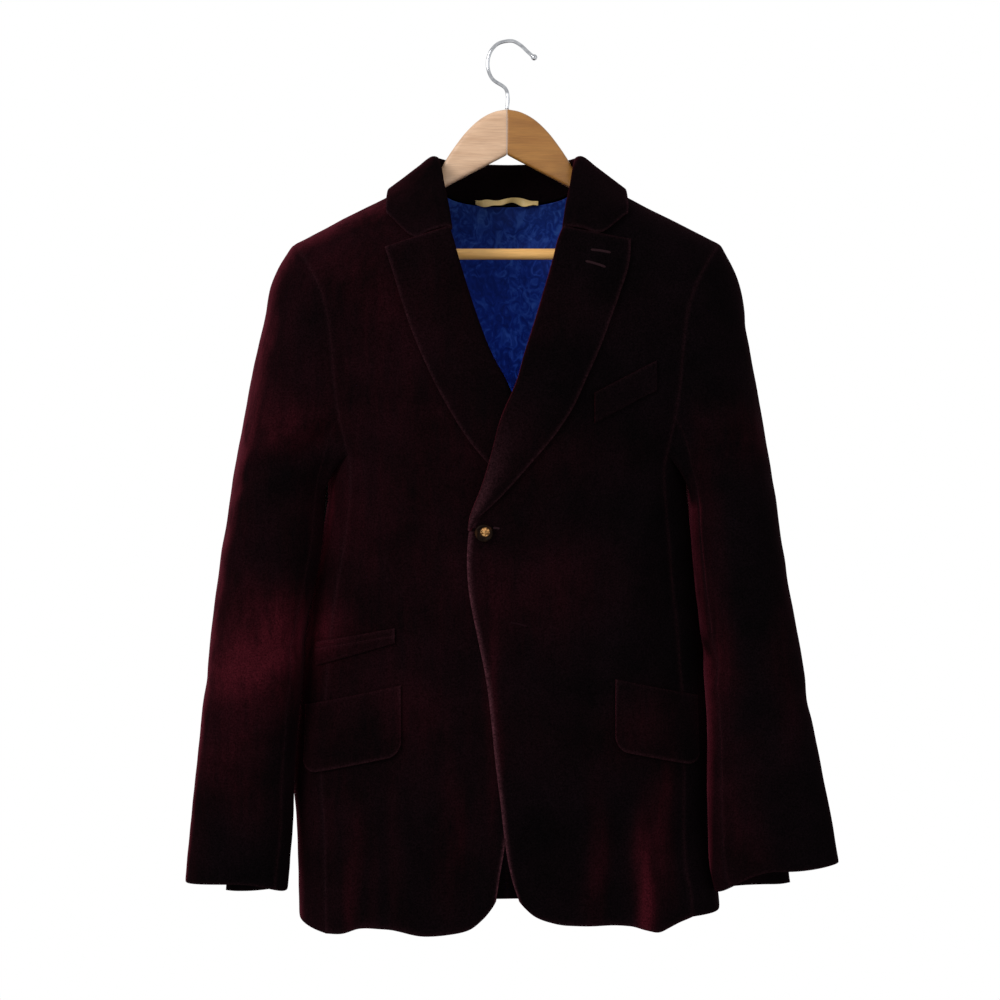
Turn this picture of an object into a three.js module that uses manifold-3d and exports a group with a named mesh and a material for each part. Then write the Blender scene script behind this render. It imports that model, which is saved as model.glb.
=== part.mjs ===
// Velour blazer with notch lapels and one fastened button, hanging on a wooden wishbone hanger.
// Millimetres, +Z up. The front faces -Y and the wearer's left is +X. The origin is the inside top of
// the hanger's hook, where a rail carries it. Each piece a maker would cut is one closed wall of cloth.
import * as THREE from 'three';
import Module from 'manifold-3d';

const wasm = await Module();
wasm.setup();

// Cloth thicknesses and the gaps at seams and between layers.
const CLOTH = 2.2;
const LAPEL = 2.6;
const COLLAR = 3;
const FLAP = 2.4;
const LINING = 1;
const SEAM_GAP = 0.3;
const ARMHOLE_GAP = 1.5;
const LAYER_GAP = 0.9;
const LAPEL_GAP = 1.6;
const TURN_INSET = 2.2;

// The shoulder line: straight from the neck point to the sleeve, and rounded front to back.
const NECK_POINT = { x: 82, z: -138.4 };
const SHOULDER_TIP_X = 219;
const SHOULDER_SLOPE = 0.505;
const SHOULDER_TIP_Z = NECK_POINT.z - SHOULDER_SLOPE * (SHOULDER_TIP_X - NECK_POINT.x);
const SHOULDER_ROUND = 90;
const SHOULDER_POWER = { neck: 0.62, tip: 0.48 };
const NECK_SOFTNESS = 60;

// The body's cross-section is a squarish oval; left and right are half widths, front and back depths.
const BODY_SQUARENESS = 2.6;
const BODY = [
  { z: -120, left: 262, right: 262, front: 74, back: 56 },
  { z: -200, left: 260, right: 260, front: 80, back: 60 },
  { z: -260, left: 250, right: 250, front: 83, back: 64 },
  { z: -320, left: 235, right: 235, front: 85, back: 66 },
  { z: -380, left: 213, right: 213, front: 85, back: 65 },
  { z: -425, left: 187, right: 187, front: 83, back: 62 },
  { z: -460, left: 184, right: 184, front: 80, back: 58 },
  { z: -512, left: 190.5, right: 191, front: 75, back: 53 },
  { z: -553, left: 194.5, right: 199.5, front: 73, back: 51 },
  { z: -594, left: 199.5, right: 206.5, front: 73, back: 52 },
  { z: -635, left: 203.5, right: 210.5, front: 74, back: 55 },
  { z: -677, left: 207.5, right: 214.5, front: 75.5, back: 58 },
  { z: -718, left: 208.8, right: 218, front: 77, back: 61 },
  { z: -759, left: 208.5, right: 219.5, front: 77.5, back: 63 },
  { z: -800, left: 208.5, right: 216.5, front: 78, back: 65 },
  { z: -845, left: 211.5, right: 214.5, front: 78, back: 66 },
  { z: -870, left: 217, right: 214, front: 78, back: 67 },
  { z: -910, left: 219, right: 213, front: 78, back: 68 },
];

// Where each front's own edge runs: the neck edge, the roll of the lapel, then the front edge.
// Both are distances towards the panel's own side; a minus means past the middle.
const FRONT_EDGE = [
  { z: -138.4, left: 82, right: 82 },
  { z: -158, left: 75, right: 75 },
  { z: -178, left: 67.5, right: 68 },
  { z: -196, left: 60.5, right: 62 },
  { z: -212, left: 54, right: 57 },
  { z: -230, left: 49.5, right: 52 },
  { z: -260, left: 41, right: 43 },
  { z: -290, left: 32, right: 33 },
  { z: -325, left: 21, right: 19.5 },
  { z: -356, left: 12, right: 3 },
  { z: -391, left: -3, right: -11 },
  { z: -425, left: -12, right: -20 },
  { z: -455, left: -21, right: -27 },
  { z: -478, left: -30, right: -32 },
  { z: -492, left: -36, right: -36 },
  { z: -511, left: -39, right: -38 },
  { z: -541, left: -40, right: -39 },
  { z: -571, left: -37, right: -36 },
  { z: -611, left: -29, right: -29 },
  { z: -651, left: -21, right: -21 },
  { z: -691, left: -16, right: -15 },
  { z: -731, left: -12, right: -10 },
  { z: -771, left: -7, right: -5 },
  { z: -821, left: -1, right: 3 },
  { z: -850, left: 5, right: 8 },
  { z: -871, left: 12, right: 11 },
];

// The hem of each front from its rounded corner to the side seam.
const FRONT_HEM = {
  left: [
    { x: 12, z: -871 }, { x: 17, z: -877 }, { x: 26, z: -885 }, { x: 38, z: -890.5 },
    { x: 60, z: -895.5 }, { x: 120, z: -897 }, { x: 135, z: -901 }, { x: 148, z: -904 },
    { x: 160, z: -900 }, { x: 183, z: -891 },
  ],
  right: [
    { x: 11, z: -871 }, { x: 15, z: -878 }, { x: 24, z: -889 }, { x: 38, z: -900 },
    { x: 60, z: -905 }, { x: 82, z: -906 }, { x: 115, z: -901 }, { x: 148, z: -901.5 },
    { x: 165, z: -907 }, { x: 182, z: -908 },
  ],
};
const HEM_SIDE = { left: -889, right: -896 };
const HEM_BACK = -893;

// The armhole runs from the shoulder tip down the front and back panels to the side panel.
const ARMHOLE_BOTTOM = -425;
const ARMHOLE_DIP = 14;
const SIDE_SEAM_SHARE = 0.86;
const ARMHOLE = [
  { z: SHOULDER_TIP_Z, front: SHOULDER_TIP_X, back: SHOULDER_TIP_X },
  { z: -216, front: 213.5, back: 214 },
  { z: -230, front: 204, back: 206 },
  { z: -256, front: 190, back: 194 },
  { z: -282, front: 182, back: 187 },
  { z: -321, front: 177, back: 181 },
  { z: -361, front: 173.5, back: 176 },
  { z: -400, front: 167, back: 168 },
  { z: ARMHOLE_BOTTOM, front: 160.8, back: 160.8 },
];

// The back neck edge from the middle to the neck point.
const BACK_NECK = [
  { x: 0, z: -163 }, { x: 30, z: -161.5 }, { x: 57, z: -156.5 }, { x: 72, z: -148.5 }, NECK_POINT,
];

// The left front lies over the right one, and over its lapel above the button.
const OVERLAP = { full: 46, none: 112 };
const LIFT = [
  { z: -240, lift: 0 }, { z: -290, lift: 5.5 }, { z: -335, lift: 10.3 },
  { z: -490, lift: 10.3 }, { z: -545, lift: 3.2 }, { z: -910, lift: 3.2 },
];

// The largest folds of the hanging cloth: a line down from (x, top) to (foot, bottom), width and height.
const BODY_FOLDS = [
  { facing: 'front', x: 126, top: -735, foot: 140, bottom: -940, width: 13, height: 6.5 },
  { facing: 'front', x: 108, top: -770, foot: 104, bottom: -930, width: 15, height: -3.5 },
  { facing: 'front', x: -140, top: -755, foot: -146, bottom: -930, width: 14, height: -4.5 },
  { facing: 'front', x: -100, top: -750, foot: -96, bottom: -920, width: 15, height: 4 },
  { facing: 'front', x: -34, top: -700, foot: -44, bottom: -880, width: 12, height: -4 },
  { facing: 'front', x: 150, top: -430, foot: 118, bottom: -600, width: 18, height: 4 },
  { facing: 'front', x: -148, top: -430, foot: -124, bottom: -555, width: 18, height: 4 },
  { facing: 'back', x: 96, top: -560, foot: 112, bottom: -930, width: 20, height: 6 },
  { facing: 'back', x: -88, top: -600, foot: -108, bottom: -930, width: 20, height: 6 },
  { facing: 'back', x: 44, top: -700, foot: 36, bottom: -930, width: 17, height: -4.5 },
  { facing: 'back', x: -40, top: -680, foot: -50, bottom: -930, width: 18, height: -4 },
  { facing: 'back', x: 130, top: -290, foot: 150, bottom: -470, width: 20, height: 5 },
  { facing: 'back', x: -132, top: -300, foot: -150, bottom: -480, width: 20, height: 5 },
];

// Each sleeve below the cap, as distances from the middle of the jacket: the edge next to the body,
// the outer edge, and the depths in front of and behind the shoulder line.
const SLEEVES = {
  left: {
    capFullness: 52,
    cuff: { front: 12, back: -11, outer: 17, inner: -7 },
    rows: [
      { z: -480, inner: 184.2, outer: 276.5, front: 71, back: 58 },
      { z: -512, inner: 185.5, outer: 280.6, front: 72, back: 51 },
      { z: -553, inner: 189, outer: 286, front: 74, back: 40 },
      { z: -594, inner: 194, outer: 293.1, front: 75, back: 30 },
      { z: -635, inner: 198.3, outer: 300, front: 77, back: 21 },
      { z: -677, inner: 201.3, outer: 306.4, front: 79, back: 13 },
      { z: -718, inner: 202.6, outer: 313.1, front: 79, back: 7 },
      { z: -759, inner: 202.8, outer: 320.4, front: 77, back: 3 },
      { z: -800, inner: 203, outer: 327.6, front: 74, back: -1 },
      { z: -841, inner: 205, outer: 333.3, front: 70, back: -3 },
      { z: -866, inner: 211, outer: 336.7, front: 66, back: -2 },
    ],
  },
  right: {
    capFullness: 84,
    cuff: { front: 9, back: -12, outer: 4, inner: -4 },
    rows: [
      { z: -480, inner: 184.2, outer: 285.5, front: 71, back: 58 },
      { z: -512, inner: 186, outer: 289.9, front: 74, back: 49 },
      { z: -553, inner: 193, outer: 295.2, front: 77, back: 37 },
      { z: -594, inner: 202, outer: 299.6, front: 82, back: 23 },
      { z: -635, inner: 205.2, outer: 302.4, front: 88.5, back: 8.5 },
      { z: -677, inner: 209, outer: 307.5, front: 85, back: 5 },
      { z: -718, inner: 212.7, outer: 311.7, front: 81, back: 2 },
      { z: -759, inner: 215.6, outer: 316.2, front: 75, back: 1 },
      { z: -800, inner: 216.8, outer: 320.7, front: 69, back: 1 },
      { z: -841, inner: 221, outer: 325.2, front: 63, back: 1 },
      { z: -867, inner: 223.4, outer: 327, front: 60, back: 1 },
    ],
  },
};
const SLEEVE_SQUARENESS = 2.25;
const UNDERARM_TURN = 16;
const CAP_DROP = 1.05;
const CAP_LEVEL = 0.6;
const SLEEVE_REST = 1.5;
const SLEEVE_SEAM_GAP = 0.24;
const ARMHOLE_STEPS = 24;
// Round the sleeve, 0 is the outside, 90 the front, 180 next to the body and 270 the back.
const VENT = { length: 95, topAngle: 338, underAngle: 283 };

// The largest sleeve folds: the ring height and angle of the middle, slant, width, reach and height.
const SLEEVE_FOLDS = {
  left: [
    { z: -418, angle: 105, slant: 0.35, width: 12, reach: 60, height: -4 },
    { z: -640, angle: 120, slant: 0.25, width: 13, reach: 55, height: -4.5 },
    { z: -690, angle: 60, slant: -0.3, width: 14, reach: 60, height: -3.5 },
    { z: -600, angle: 258, slant: 0.2, width: 16, reach: 42, height: 3.5 },
  ],
  right: [
    { z: -418, angle: 120, slant: 0.45, width: 13, reach: 55, height: -4 },
    { z: -625, angle: 110, slant: 0.15, width: 13, reach: 60, height: -4.5 },
    { z: -672, angle: 80, slant: -0.25, width: 14, reach: 65, height: -3.5 },
    { z: -590, angle: 262, slant: 0.2, width: 16, reach: 42, height: 3.5 },
  ],
};

// Each lapel, from the notch down: where its edge lies beside the roll.
const LAPEL_EDGE = {
  left: [
    { roll: -199.5, x: 123, z: -211 }, { roll: -220, x: 121, z: -236 }, { roll: -244, x: 113, z: -262 },
    { roll: -270, x: 103, z: -290 }, { roll: -300, x: 92, z: -319 }, { roll: -330, x: 78, z: -350 },
    { roll: -360, x: 64, z: -380 }, { roll: -392, x: 45, z: -408 }, { roll: -425, x: 23, z: -434 },
    { roll: -455, x: 1, z: -459 }, { roll: -474, x: -16, z: -476 }, { roll: -484, x: -25, z: -485 },
  ],
  right: [
    { roll: -199.5, x: 121.6, z: -219 }, { roll: -220, x: 113, z: -246 }, { roll: -244, x: 105.5, z: -271 },
    { roll: -270, x: 96, z: -299 }, { roll: -300, x: 84, z: -328 }, { roll: -330, x: 71, z: -356 },
    { roll: -360, x: 55, z: -385 }, { roll: -392, x: 37, z: -413 }, { roll: -425, x: 16, z: -438 },
    { roll: -455, x: -3, z: -461 }, { roll: -474, x: -18, z: -476 }, { roll: -484, x: -27, z: -485 },
  ],
};
const LAPEL_LEAF_STEPS = 6;
const LAPEL_TURN_STEPS = 4;
const LAPEL_TURN_INSIDE = 7;

// Half of the collar, from the middle of the back to the notch. Each row crosses it: the neck seam,
// the fold at the top and the loose edge, each as x, y, z, and how far the fold is open.
const COLLAR_ROWS = [
  { seam: [0, 50, -161.5], fold: [0, 53, -119.5], edge: [0, 60, -166], open: 3.4 },
  { seam: [26, 48.2, -160.5], fold: [24, 50, -119.5], edge: [34, 60, -166], open: 3.4 },
  { seam: [50, 42, -157], fold: [45, 41, -119], edge: [70, 54, -166], open: 3.6 },
  { seam: [69, 29, -149], fold: [62, 26, -119], edge: [100, 36, -163], open: 4 },
  { seam: [79.5, 8, -138], fold: [71.5, 7, -119.5], edge: [118, 12, -153], open: 4.6 },
  { seam: [78.5, -10, -139.5], fold: [71, -11, -121.5], edge: [121.5, -12, -153.5], open: 4.6 },
  { seam: [74.5, -32, -151.5], fold: [68, -29, -133], edge: [122.5, -34, -166], open: 4.4 },
  { seam: [70.5, -52, -167], fold: [64, -49, -155], edge: [122.5, -44, -173], bend: [100, -62, -176], open: 4 },
  { seam: [66.4, -62.5, -184], fold: [59.5, -66, -177], edge: [122, -48, -177.5], bend: [97, -70, -190], open: 3.8 },
  { seam: [64, -69.6, -197.5], fold: [56.5, -76, -198], edge: [121.6, -50, -181], bend: [94.5, -76, -202.8], open: 3.6 },
];
// The notch on the wearer's right is a little lower.
const NOTCH_DROP = { left: 0, right: 4.5 };
const COLLAR_ACROSS = 15;
const COLLAR_FALL = 9;
const COLLAR_CLEAR = 1.5;

// Pockets, given as distances from the middle. The slope is the drop towards the side seam.
const HIP_FLAPS = {
  left: { inner: 108, top: -650, height: 71, slope: 0.215, outerShare: 0.922, corner: 13 },
  right: { inner: 106, top: -656, height: 70, slope: 0.225, outerShare: 0.941, corner: 13 },
};
const FLAP_COLUMNS = [0, 0.03, 0.09, 0.2, 0.35, 0.5, 0.65, 0.8, 0.91, 0.97, 1];
const TICKET_POCKET = { inner: 112, slit: -606, slope: 0.19, outerShare: 0.923, upper: 7, lower: 8, gape: 9 };
const CHEST_WELT = { inner: 86, outer: 149, top: -364, rise: 0.52, height: 30 };

// Hanging loop, button and hanger.
const LOOP = { reach: 33, height: 9, thickness: 1, z: -156.5, bow: 3.5 };
const BUTTON = { x: -23, z: -502, radius: 9, thickness: 4.2, rim: 1.2 };
const ARM_OUTLINE = [
  { x: 0.15, top: -68.5, bottom: -115.2, half: 7 },
  { x: 14, top: -71.5, bottom: -122.5, half: 7 },
  { x: 28, top: -79, bottom: -129.8, half: 7 },
  { x: 42, top: -92, bottom: -137.1, half: 7.2 },
  { x: 54, top: -107.5, bottom: -143.5, half: 7.4 },
  { x: 62, top: -119.5, bottom: -147.8, half: 7.6 },
  { x: 68, top: -129.5, bottom: -151, half: 7 },
  { x: 76, top: -139.5, bottom: -156, half: 6.8 },
  { x: 86, top: -145.6, bottom: -162.5, half: 7.4 },
  { x: 110, top: -156.2, bottom: -177.5, half: 9 },
  { x: 140, top: -171.4, bottom: -196, half: 9.5 },
  { x: 170, top: -186.5, bottom: -213.5, half: 9.5 },
  { x: 188, top: -195.6, bottom: -226, half: 9.2 },
  { x: 200, top: -202.2, bottom: -229, half: 8.2 },
  { x: 206, top: -208.5, bottom: -226, half: 6 },
];
const BAR = { reach: 190, z: -217.5, radius: 5.7 };
const HOOK_WIRE = 1.9;
const HOOK_TIP = 3.3;
const HOOK_STEPS = 34;
const HOOK_SIDES = 8;
const BAR_SIDES = 14;
const BUTTON_SIDES = 28;
const HOOK_PATH = [
  [0, -68.1], [0.9, -56], [-2, -46.5], [-14, -38], [-18.7, -29.5], [-19.8, -19], [-16.6, -8.5],
  [-9.5, -0.9], [0, 1.9], [7, 1.6], [14.4, -2.6], [22.7, -10.3], [30.5, -17],
];

const VELOUR = new THREE.MeshStandardMaterial({ color: 0x3a0d18, roughness: 0.9, metalness: 0 });
const LINING_BLUE = new THREE.MeshStandardMaterial({ color: 0x14225a, roughness: 0.45, metalness: 0 });
const RIBBON = new THREE.MeshStandardMaterial({ color: 0x8d7a4c, roughness: 0.6, metalness: 0 });
const HORN = new THREE.MeshStandardMaterial({ color: 0x6a4a30, roughness: 0.25, metalness: 0 });
const PALE_WOOD = new THREE.MeshStandardMaterial({ color: 0xc79b62, roughness: 0.4, metalness: 0 });
const CHROME = new THREE.MeshStandardMaterial({ color: 0xb8babd, roughness: 0.2, metalness: 1 });

const jacket = new THREE.Group();
const SIDES = ['left', 'right'];
const handed = (side) => (side === 'left' ? 1 : -1);

// Small helpers for curves and tables.

function smoothstep(low, high, value) {
  const t = THREE.MathUtils.clamp((value - low) / (high - low), 0, 1);
  return t * t * (3 - 2 * t);
}

function tableSlope(table, key, column, i) {
  const before = table[Math.max(i - 1, 0)];
  const after = table[Math.min(i + 1, table.length - 1)];
  return (after[column] - before[column]) / (after[key] - before[key]);
}

// A smooth curve through one column of a table, held level beyond its ends.
function read(table, key, column, at) {
  const direction = Math.sign(table[1][key] - table[0][key]);
  let i = 0;
  while (i < table.length - 2 && direction * (at - table[i + 1][key]) > 0) {
    i += 1;
  }
  const low = table[i];
  const high = table[i + 1];
  const span = high[key] - low[key];
  const t = THREE.MathUtils.clamp((at - low[key]) / span, 0, 1);
  const start = tableSlope(table, key, column, i) * span;
  const end = tableSlope(table, key, column, i + 1) * span;
  return hermite(low[column], start, high[column], end, t);
}

function hermite(from, leaving, to, arriving, t) {
  const t2 = t * t;
  const t3 = t2 * t;
  return from * (2 * t3 - 3 * t2 + 1) + leaving * (t3 - 2 * t2 + t)
    + to * (3 * t2 - 2 * t3) + arriving * (t3 - t2);
}

function hermitePoint(from, leaving, to, arriving, t) {
  return new THREE.Vector3(
    hermite(from.x, leaving.x, to.x, arriving.x, t),
    hermite(from.y, leaving.y, to.y, arriving.y, t),
    hermite(from.z, leaving.z, to.z, arriving.z, t),
  );
}

// Turning grids and rings of points into closed walls.

function solid(name, points, triangles, material) {
  const flat = points.flatMap((point) => [point.x, point.y, point.z]);
  let volume = 0;
  for (const [a, b, c] of triangles) {
    volume += points[a].dot(new THREE.Vector3().crossVectors(points[b], points[c]));
  }
  const facing = triangles.map(([a, b, c]) => (volume > 0 ? [a, b, c] : [a, c, b]));
  const geometry = new THREE.BufferGeometry();
  geometry.setAttribute('position', new THREE.Float32BufferAttribute(flat, 3));
  geometry.setIndex(facing.flat());
  const mesh = new THREE.Mesh(geometry, material);
  mesh.name = name;
  jacket.add(mesh);
  return mesh;
}

// A wall of cloth over a grid: pointAt(row, column, offset) gives a point that far outside the face.
function wall(name, rows, columns, pointAt, outside, inside, material) {
  const points = [];
  for (const offset of [outside, inside]) {
    for (let i = 0; i < rows; i += 1) {
      for (let j = 0; j < columns; j += 1) {
        points.push(pointAt(i, j, offset));
      }
    }
  }
  const under = rows * columns;
  const at = (i, j) => i * columns + j;
  const triangles = [];
  for (let i = 0; i < rows - 1; i += 1) {
    for (let j = 0; j < columns - 1; j += 1) {
      const corners = [at(i, j), at(i, j + 1), at(i + 1, j + 1), at(i + 1, j)];
      triangles.push([corners[0], corners[1], corners[2]], [corners[0], corners[2], corners[3]]);
      const [a, b, c, d] = corners.map((corner) => corner + under);
      triangles.push([a, c, b], [a, d, c]);
    }
  }
  const rim = [];
  for (let j = 0; j < columns - 1; j += 1) rim.push(at(0, j));
  for (let i = 0; i < rows - 1; i += 1) rim.push(at(i, columns - 1));
  for (let j = columns - 1; j > 0; j -= 1) rim.push(at(rows - 1, j));
  for (let i = rows - 1; i > 0; i -= 1) rim.push(at(i, 0));
  rim.forEach((a, k) => {
    const b = rim[(k + 1) % rim.length];
    triangles.push([b, a, a + under], [b, a + under, b + under]);
  });
  return solid(name, points, triangles, material);
}

// A bar through closed sections with equally many corners, its ends closed flat from their middles.
function bar(name, sections, material) {
  const corners = sections[0].length;
  const points = sections.flat();
  const triangles = [];
  for (let s = 0; s < sections.length - 1; s += 1) {
    for (let k = 0; k < corners; k += 1) {
      const a = s * corners + k;
      const b = s * corners + ((k + 1) % corners);
      triangles.push([a, b, b + corners], [a, b + corners, a + corners]);
    }
  }
  for (const s of [0, sections.length - 1]) {
    const middle = new THREE.Vector3();
    sections[s].forEach((point) => middle.addScaledVector(point, 1 / corners));
    points.push(middle);
    for (let k = 0; k < corners; k += 1) {
      const a = s * corners + k;
      const b = s * corners + ((k + 1) % corners);
      triangles.push(s === 0 ? [points.length - 1, b, a] : [points.length - 1, a, b]);
    }
  }
  return solid(name, points, triangles, material);
}

// The body's surface.

// The distance from the middle, rounded off so that the neck has no crease there.
function softDistance(x) {
  const far = Math.abs(x);
  return far < NECK_SOFTNESS ? (x * x) / (2 * NECK_SOFTNESS) + NECK_SOFTNESS / 2 : far;
}

function ridgeHeight(x) {
  return NECK_POINT.z - SHOULDER_SLOPE * (softDistance(x) - NECK_POINT.x);
}

function depthAt(x, z, facing) {
  const halfWidth = read(BODY, 'z', x > 0 ? 'left' : 'right', z);
  const depth = read(BODY, 'z', facing, z);
  const across = Math.min(Math.abs(x) / halfWidth, 0.999);
  return depth * (1 - across ** BODY_SQUARENESS) ** (1 / BODY_SQUARENESS);
}

// The shoulder is narrow front to back at the neck and rounder over the padded tip.
function shoulderPower(x) {
  const share = smoothstep(NECK_POINT.x, SHOULDER_TIP_X, Math.abs(x));
  return THREE.MathUtils.lerp(SHOULDER_POWER.neck, SHOULDER_POWER.tip, share);
}

function bodySurface(x, z, facing) {
  const rise = Math.max(1 - (ridgeHeight(x) - z) / SHOULDER_ROUND, 0);
  const depth = depthAt(x, z, facing) * Math.max(1 - rise * rise, 0) ** shoulderPower(x);
  return new THREE.Vector3(x, facing === 'front' ? -depth : depth, z);
}

// 1 on the body's surface, more outside it and less inside.
function bodyLevel(x, y, z, facing) {
  const rise = Math.max(1 - (ridgeHeight(x) - z) / SHOULDER_ROUND, 0);
  return (Math.abs(y) / depthAt(x, z, facing)) ** (1 / shoulderPower(x)) + rise * rise;
}

function bodyNormal(point, facing) {
  const step = 0.4;
  const { x, y, z } = point;
  return new THREE.Vector3(
    bodyLevel(x + step, y, z, facing) - bodyLevel(x - step, y, z, facing),
    bodyLevel(x, y + step, z, facing) - bodyLevel(x, y - step, z, facing),
    bodyLevel(x, y, z + step, facing) - bodyLevel(x, y, z - step, facing),
  ).normalize();
}

function foldHeight(x, z, facing) {
  let height = 0;
  for (const fold of BODY_FOLDS) {
    if (fold.facing === facing) {
      const along = (fold.top - z) / (fold.top - fold.bottom);
      const middle = THREE.MathUtils.lerp(fold.x, fold.foot, along);
      const across = (x - middle) / fold.width;
      const fade = smoothstep(-0.05, 0.45, along) * (1 - smoothstep(0.85, 1.3, along));
      height += fold.height * fade * Math.exp(-across * across);
    }
  }
  return height;
}

// A point of the front or back, `offset` outside the face of the cloth.
function onBody(x, z, facing, offset) {
  const point = bodySurface(x, z, facing);
  const normal = bodyNormal(point, facing);
  return point.addScaledVector(normal, offset + foldHeight(x, z, facing));
}

function overlapLift(x, z) {
  return read(LIFT, 'z', 'lift', z) * (1 - smoothstep(OVERLAP.full, OVERLAP.none, x));
}

// The same for one front, where x is the distance towards its own side.
function onFront(side, x, z, offset) {
  const lift = side === 'left' ? overlapLift(x, z) : 0;
  return onBody(handed(side) * x, z, 'front', offset + lift);
}

function seamDistance(side, z, facing) {
  if (z > ARMHOLE_BOTTOM) {
    return read(ARMHOLE, 'z', facing, z);
  }
  return SIDE_SEAM_SHARE * read(BODY, 'z', side, z);
}

// Fronts, backs and side panels.

// The rows of all body panels, as shares of the way down their side edge. They match at the seams.
const PANEL_ROWS = [
  0, 0.002, 0.008, 0.02, 0.036, 0.055, 0.077, 0.1, 0.125, 0.15, 0.185, 0.23, 0.275, 0.318, 0.37, 0.43,
  0.49, 0.55, 0.62, 0.69, 0.76, 0.83, 0.89, 0.94, 0.975, 1,
];
const FLOOR_ROW = 13;
const FRONT_COLUMNS = [0, 0.045, 0.11, 0.19, 0.28, 0.37, 0.46, 0.55, 0.64, 0.73, 0.82, 0.91, 1];

function buildFront(side) {
  const hem = FRONT_HEM[side];
  const edgeHem = FRONT_EDGE.at(-1).z;
  const sideHem = hem.at(-1).z;
  const seam = SEAM_GAP / 2;
  const pointAt = (i, j, offset) => {
    const down = PANEL_ROWS[i];
    const across = FRONT_COLUMNS[j];
    const edgeZ = THREE.MathUtils.lerp(NECK_POINT.z, edgeHem, down);
    const outerZ = THREE.MathUtils.lerp(ARMHOLE[0].z, sideHem, down);
    const inset = TURN_INSET * smoothstep(-500, -490, edgeZ);
    const inner = read(FRONT_EDGE, 'z', side, edgeZ) + inset;
    const outer = seamDistance(side, outerZ, 'front') - seam;
    const x = THREE.MathUtils.lerp(inner, outer, across);
    const hemX = THREE.MathUtils.lerp(hem[0].x, hem.at(-1).x, across);
    const hemDrop = read(hem, 'x', 'z', hemX) - THREE.MathUtils.lerp(edgeHem, sideHem, across);
    const z = THREE.MathUtils.lerp(edgeZ, outerZ, across) + hemDrop * down ** 9;
    const point = onFront(side, x, z, offset);
    point.y -= i === 0 ? seam : 0;
    return point;
  };
  wall(`front_${side}`, PANEL_ROWS.length, FRONT_COLUMNS.length, pointAt, 0, -CLOTH, VELOUR);
}

const NECK_SHARE = NECK_POINT.x / SHOULDER_TIP_X;
const BACK_COLUMNS = [0, 0.14, 0.27, NECK_SHARE, 0.5, 0.64, 0.77, 0.89, 1];

function backTop(x) {
  return x < NECK_POINT.x ? read(BACK_NECK, 'x', 'z', x) : ridgeHeight(x);
}

// The back panel's grid from the middle seam to the side seam, used by the lining too.
function backPoint(side, down, across, bottom, inset, offset) {
  const outerZ = THREE.MathUtils.lerp(ARMHOLE[0].z, bottom, down);
  const outer = seamDistance(side, outerZ, 'back');
  const x = THREE.MathUtils.lerp(inset, outer - inset, across);
  const z = THREE.MathUtils.lerp(backTop(across * SHOULDER_TIP_X), bottom, down);
  return onBody(handed(side) * x, z, 'back', offset);
}

function buildBack(side) {
  const seam = SEAM_GAP / 2;
  const pointAt = (i, j, offset) => {
    const point = backPoint(side, PANEL_ROWS[i], BACK_COLUMNS[j], HEM_BACK, seam, offset);
    point.y += i === 0 ? seam : 0;
    return point;
  };
  wall(`back_${side}`, PANEL_ROWS.length, BACK_COLUMNS.length, pointAt, 0, -CLOTH, VELOUR);
}

// The back lining hangs just inside the back and stops short of the armhole, hem and shoulder.
function buildLining(side) {
  const lines = PANEL_ROWS.slice(2, -1);
  const columns = BACK_COLUMNS.length - 1;
  const pointAt = (i, j, offset) => (
    backPoint(side, lines[i], BACK_COLUMNS[j], HEM_BACK, SEAM_GAP / 2, offset)
  );
  const face = -CLOTH - LAYER_GAP;
  wall(`lining_back_${side}`, lines.length, columns, pointAt, face, face - LINING, LINING_BLUE);
}

// A point round the side of the body. Turn is 0 at the outermost line, positive to the front.
function roundSide(side, turn, z) {
  const power = 2 / BODY_SQUARENESS;
  const halfWidth = read(BODY, 'z', side, z);
  const depth = read(BODY, 'z', turn > 0 ? 'front' : 'back', z);
  const y = -Math.sign(turn) * depth * Math.abs(Math.sin(turn)) ** power;
  return new THREE.Vector3(handed(side) * halfWidth * Math.cos(turn) ** power, y, z);
}

function sideNormal(side, turn, z) {
  const step = 0.02;
  const away = Math.abs(turn) < step ? step : Math.sign(turn) * step;
  const along = roundSide(side, turn + away, z).sub(roundSide(side, turn - away, z));
  const down = roundSide(side, turn, z - 2).sub(roundSide(side, turn, z + 2));
  const normal = along.cross(down).normalize();
  return normal.x * handed(side) > 0 ? normal : normal.negate();
}

const SEAM_TURN = Math.acos(SIDE_SEAM_SHARE ** (BODY_SQUARENESS / 2));
const SIDE_COLUMNS = [-1, -0.72, -0.4, 0, 0.4, 0.72, 1];
const SIDE_SHARE = 0.995;

function armholeFloor(share) {
  return ARMHOLE_BOTTOM - ARMHOLE_DIP * Math.cos((share * Math.PI) / 2);
}

function sideHem(side, share) {
  const end = share > 0 ? FRONT_HEM[side].at(-1).z : HEM_BACK;
  return THREE.MathUtils.lerp(HEM_SIDE[side], end, Math.abs(share));
}

function sideOffsetPoint(side, share, z, offset) {
  const turn = share * SEAM_TURN;
  return roundSide(side, turn, z).addScaledVector(sideNormal(side, turn, z), offset);
}

function buildSide(side) {
  const rows = PANEL_ROWS.length - FLOOR_ROW;
  const pointAt = (i, j, offset) => {
    const share = SIDE_COLUMNS[j];
    const down = PANEL_ROWS[i + FLOOR_ROW];
    const level = THREE.MathUtils.lerp(ARMHOLE[0].z, sideHem(side, share), down);
    const z = i === 0 ? armholeFloor(share) : level;
    return sideOffsetPoint(side, share * SIDE_SHARE, z, offset);
  };
  wall(`side_${side}`, rows, SIDE_COLUMNS.length, pointAt, 0, -CLOTH, VELOUR);
}

// Sleeves.

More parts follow.
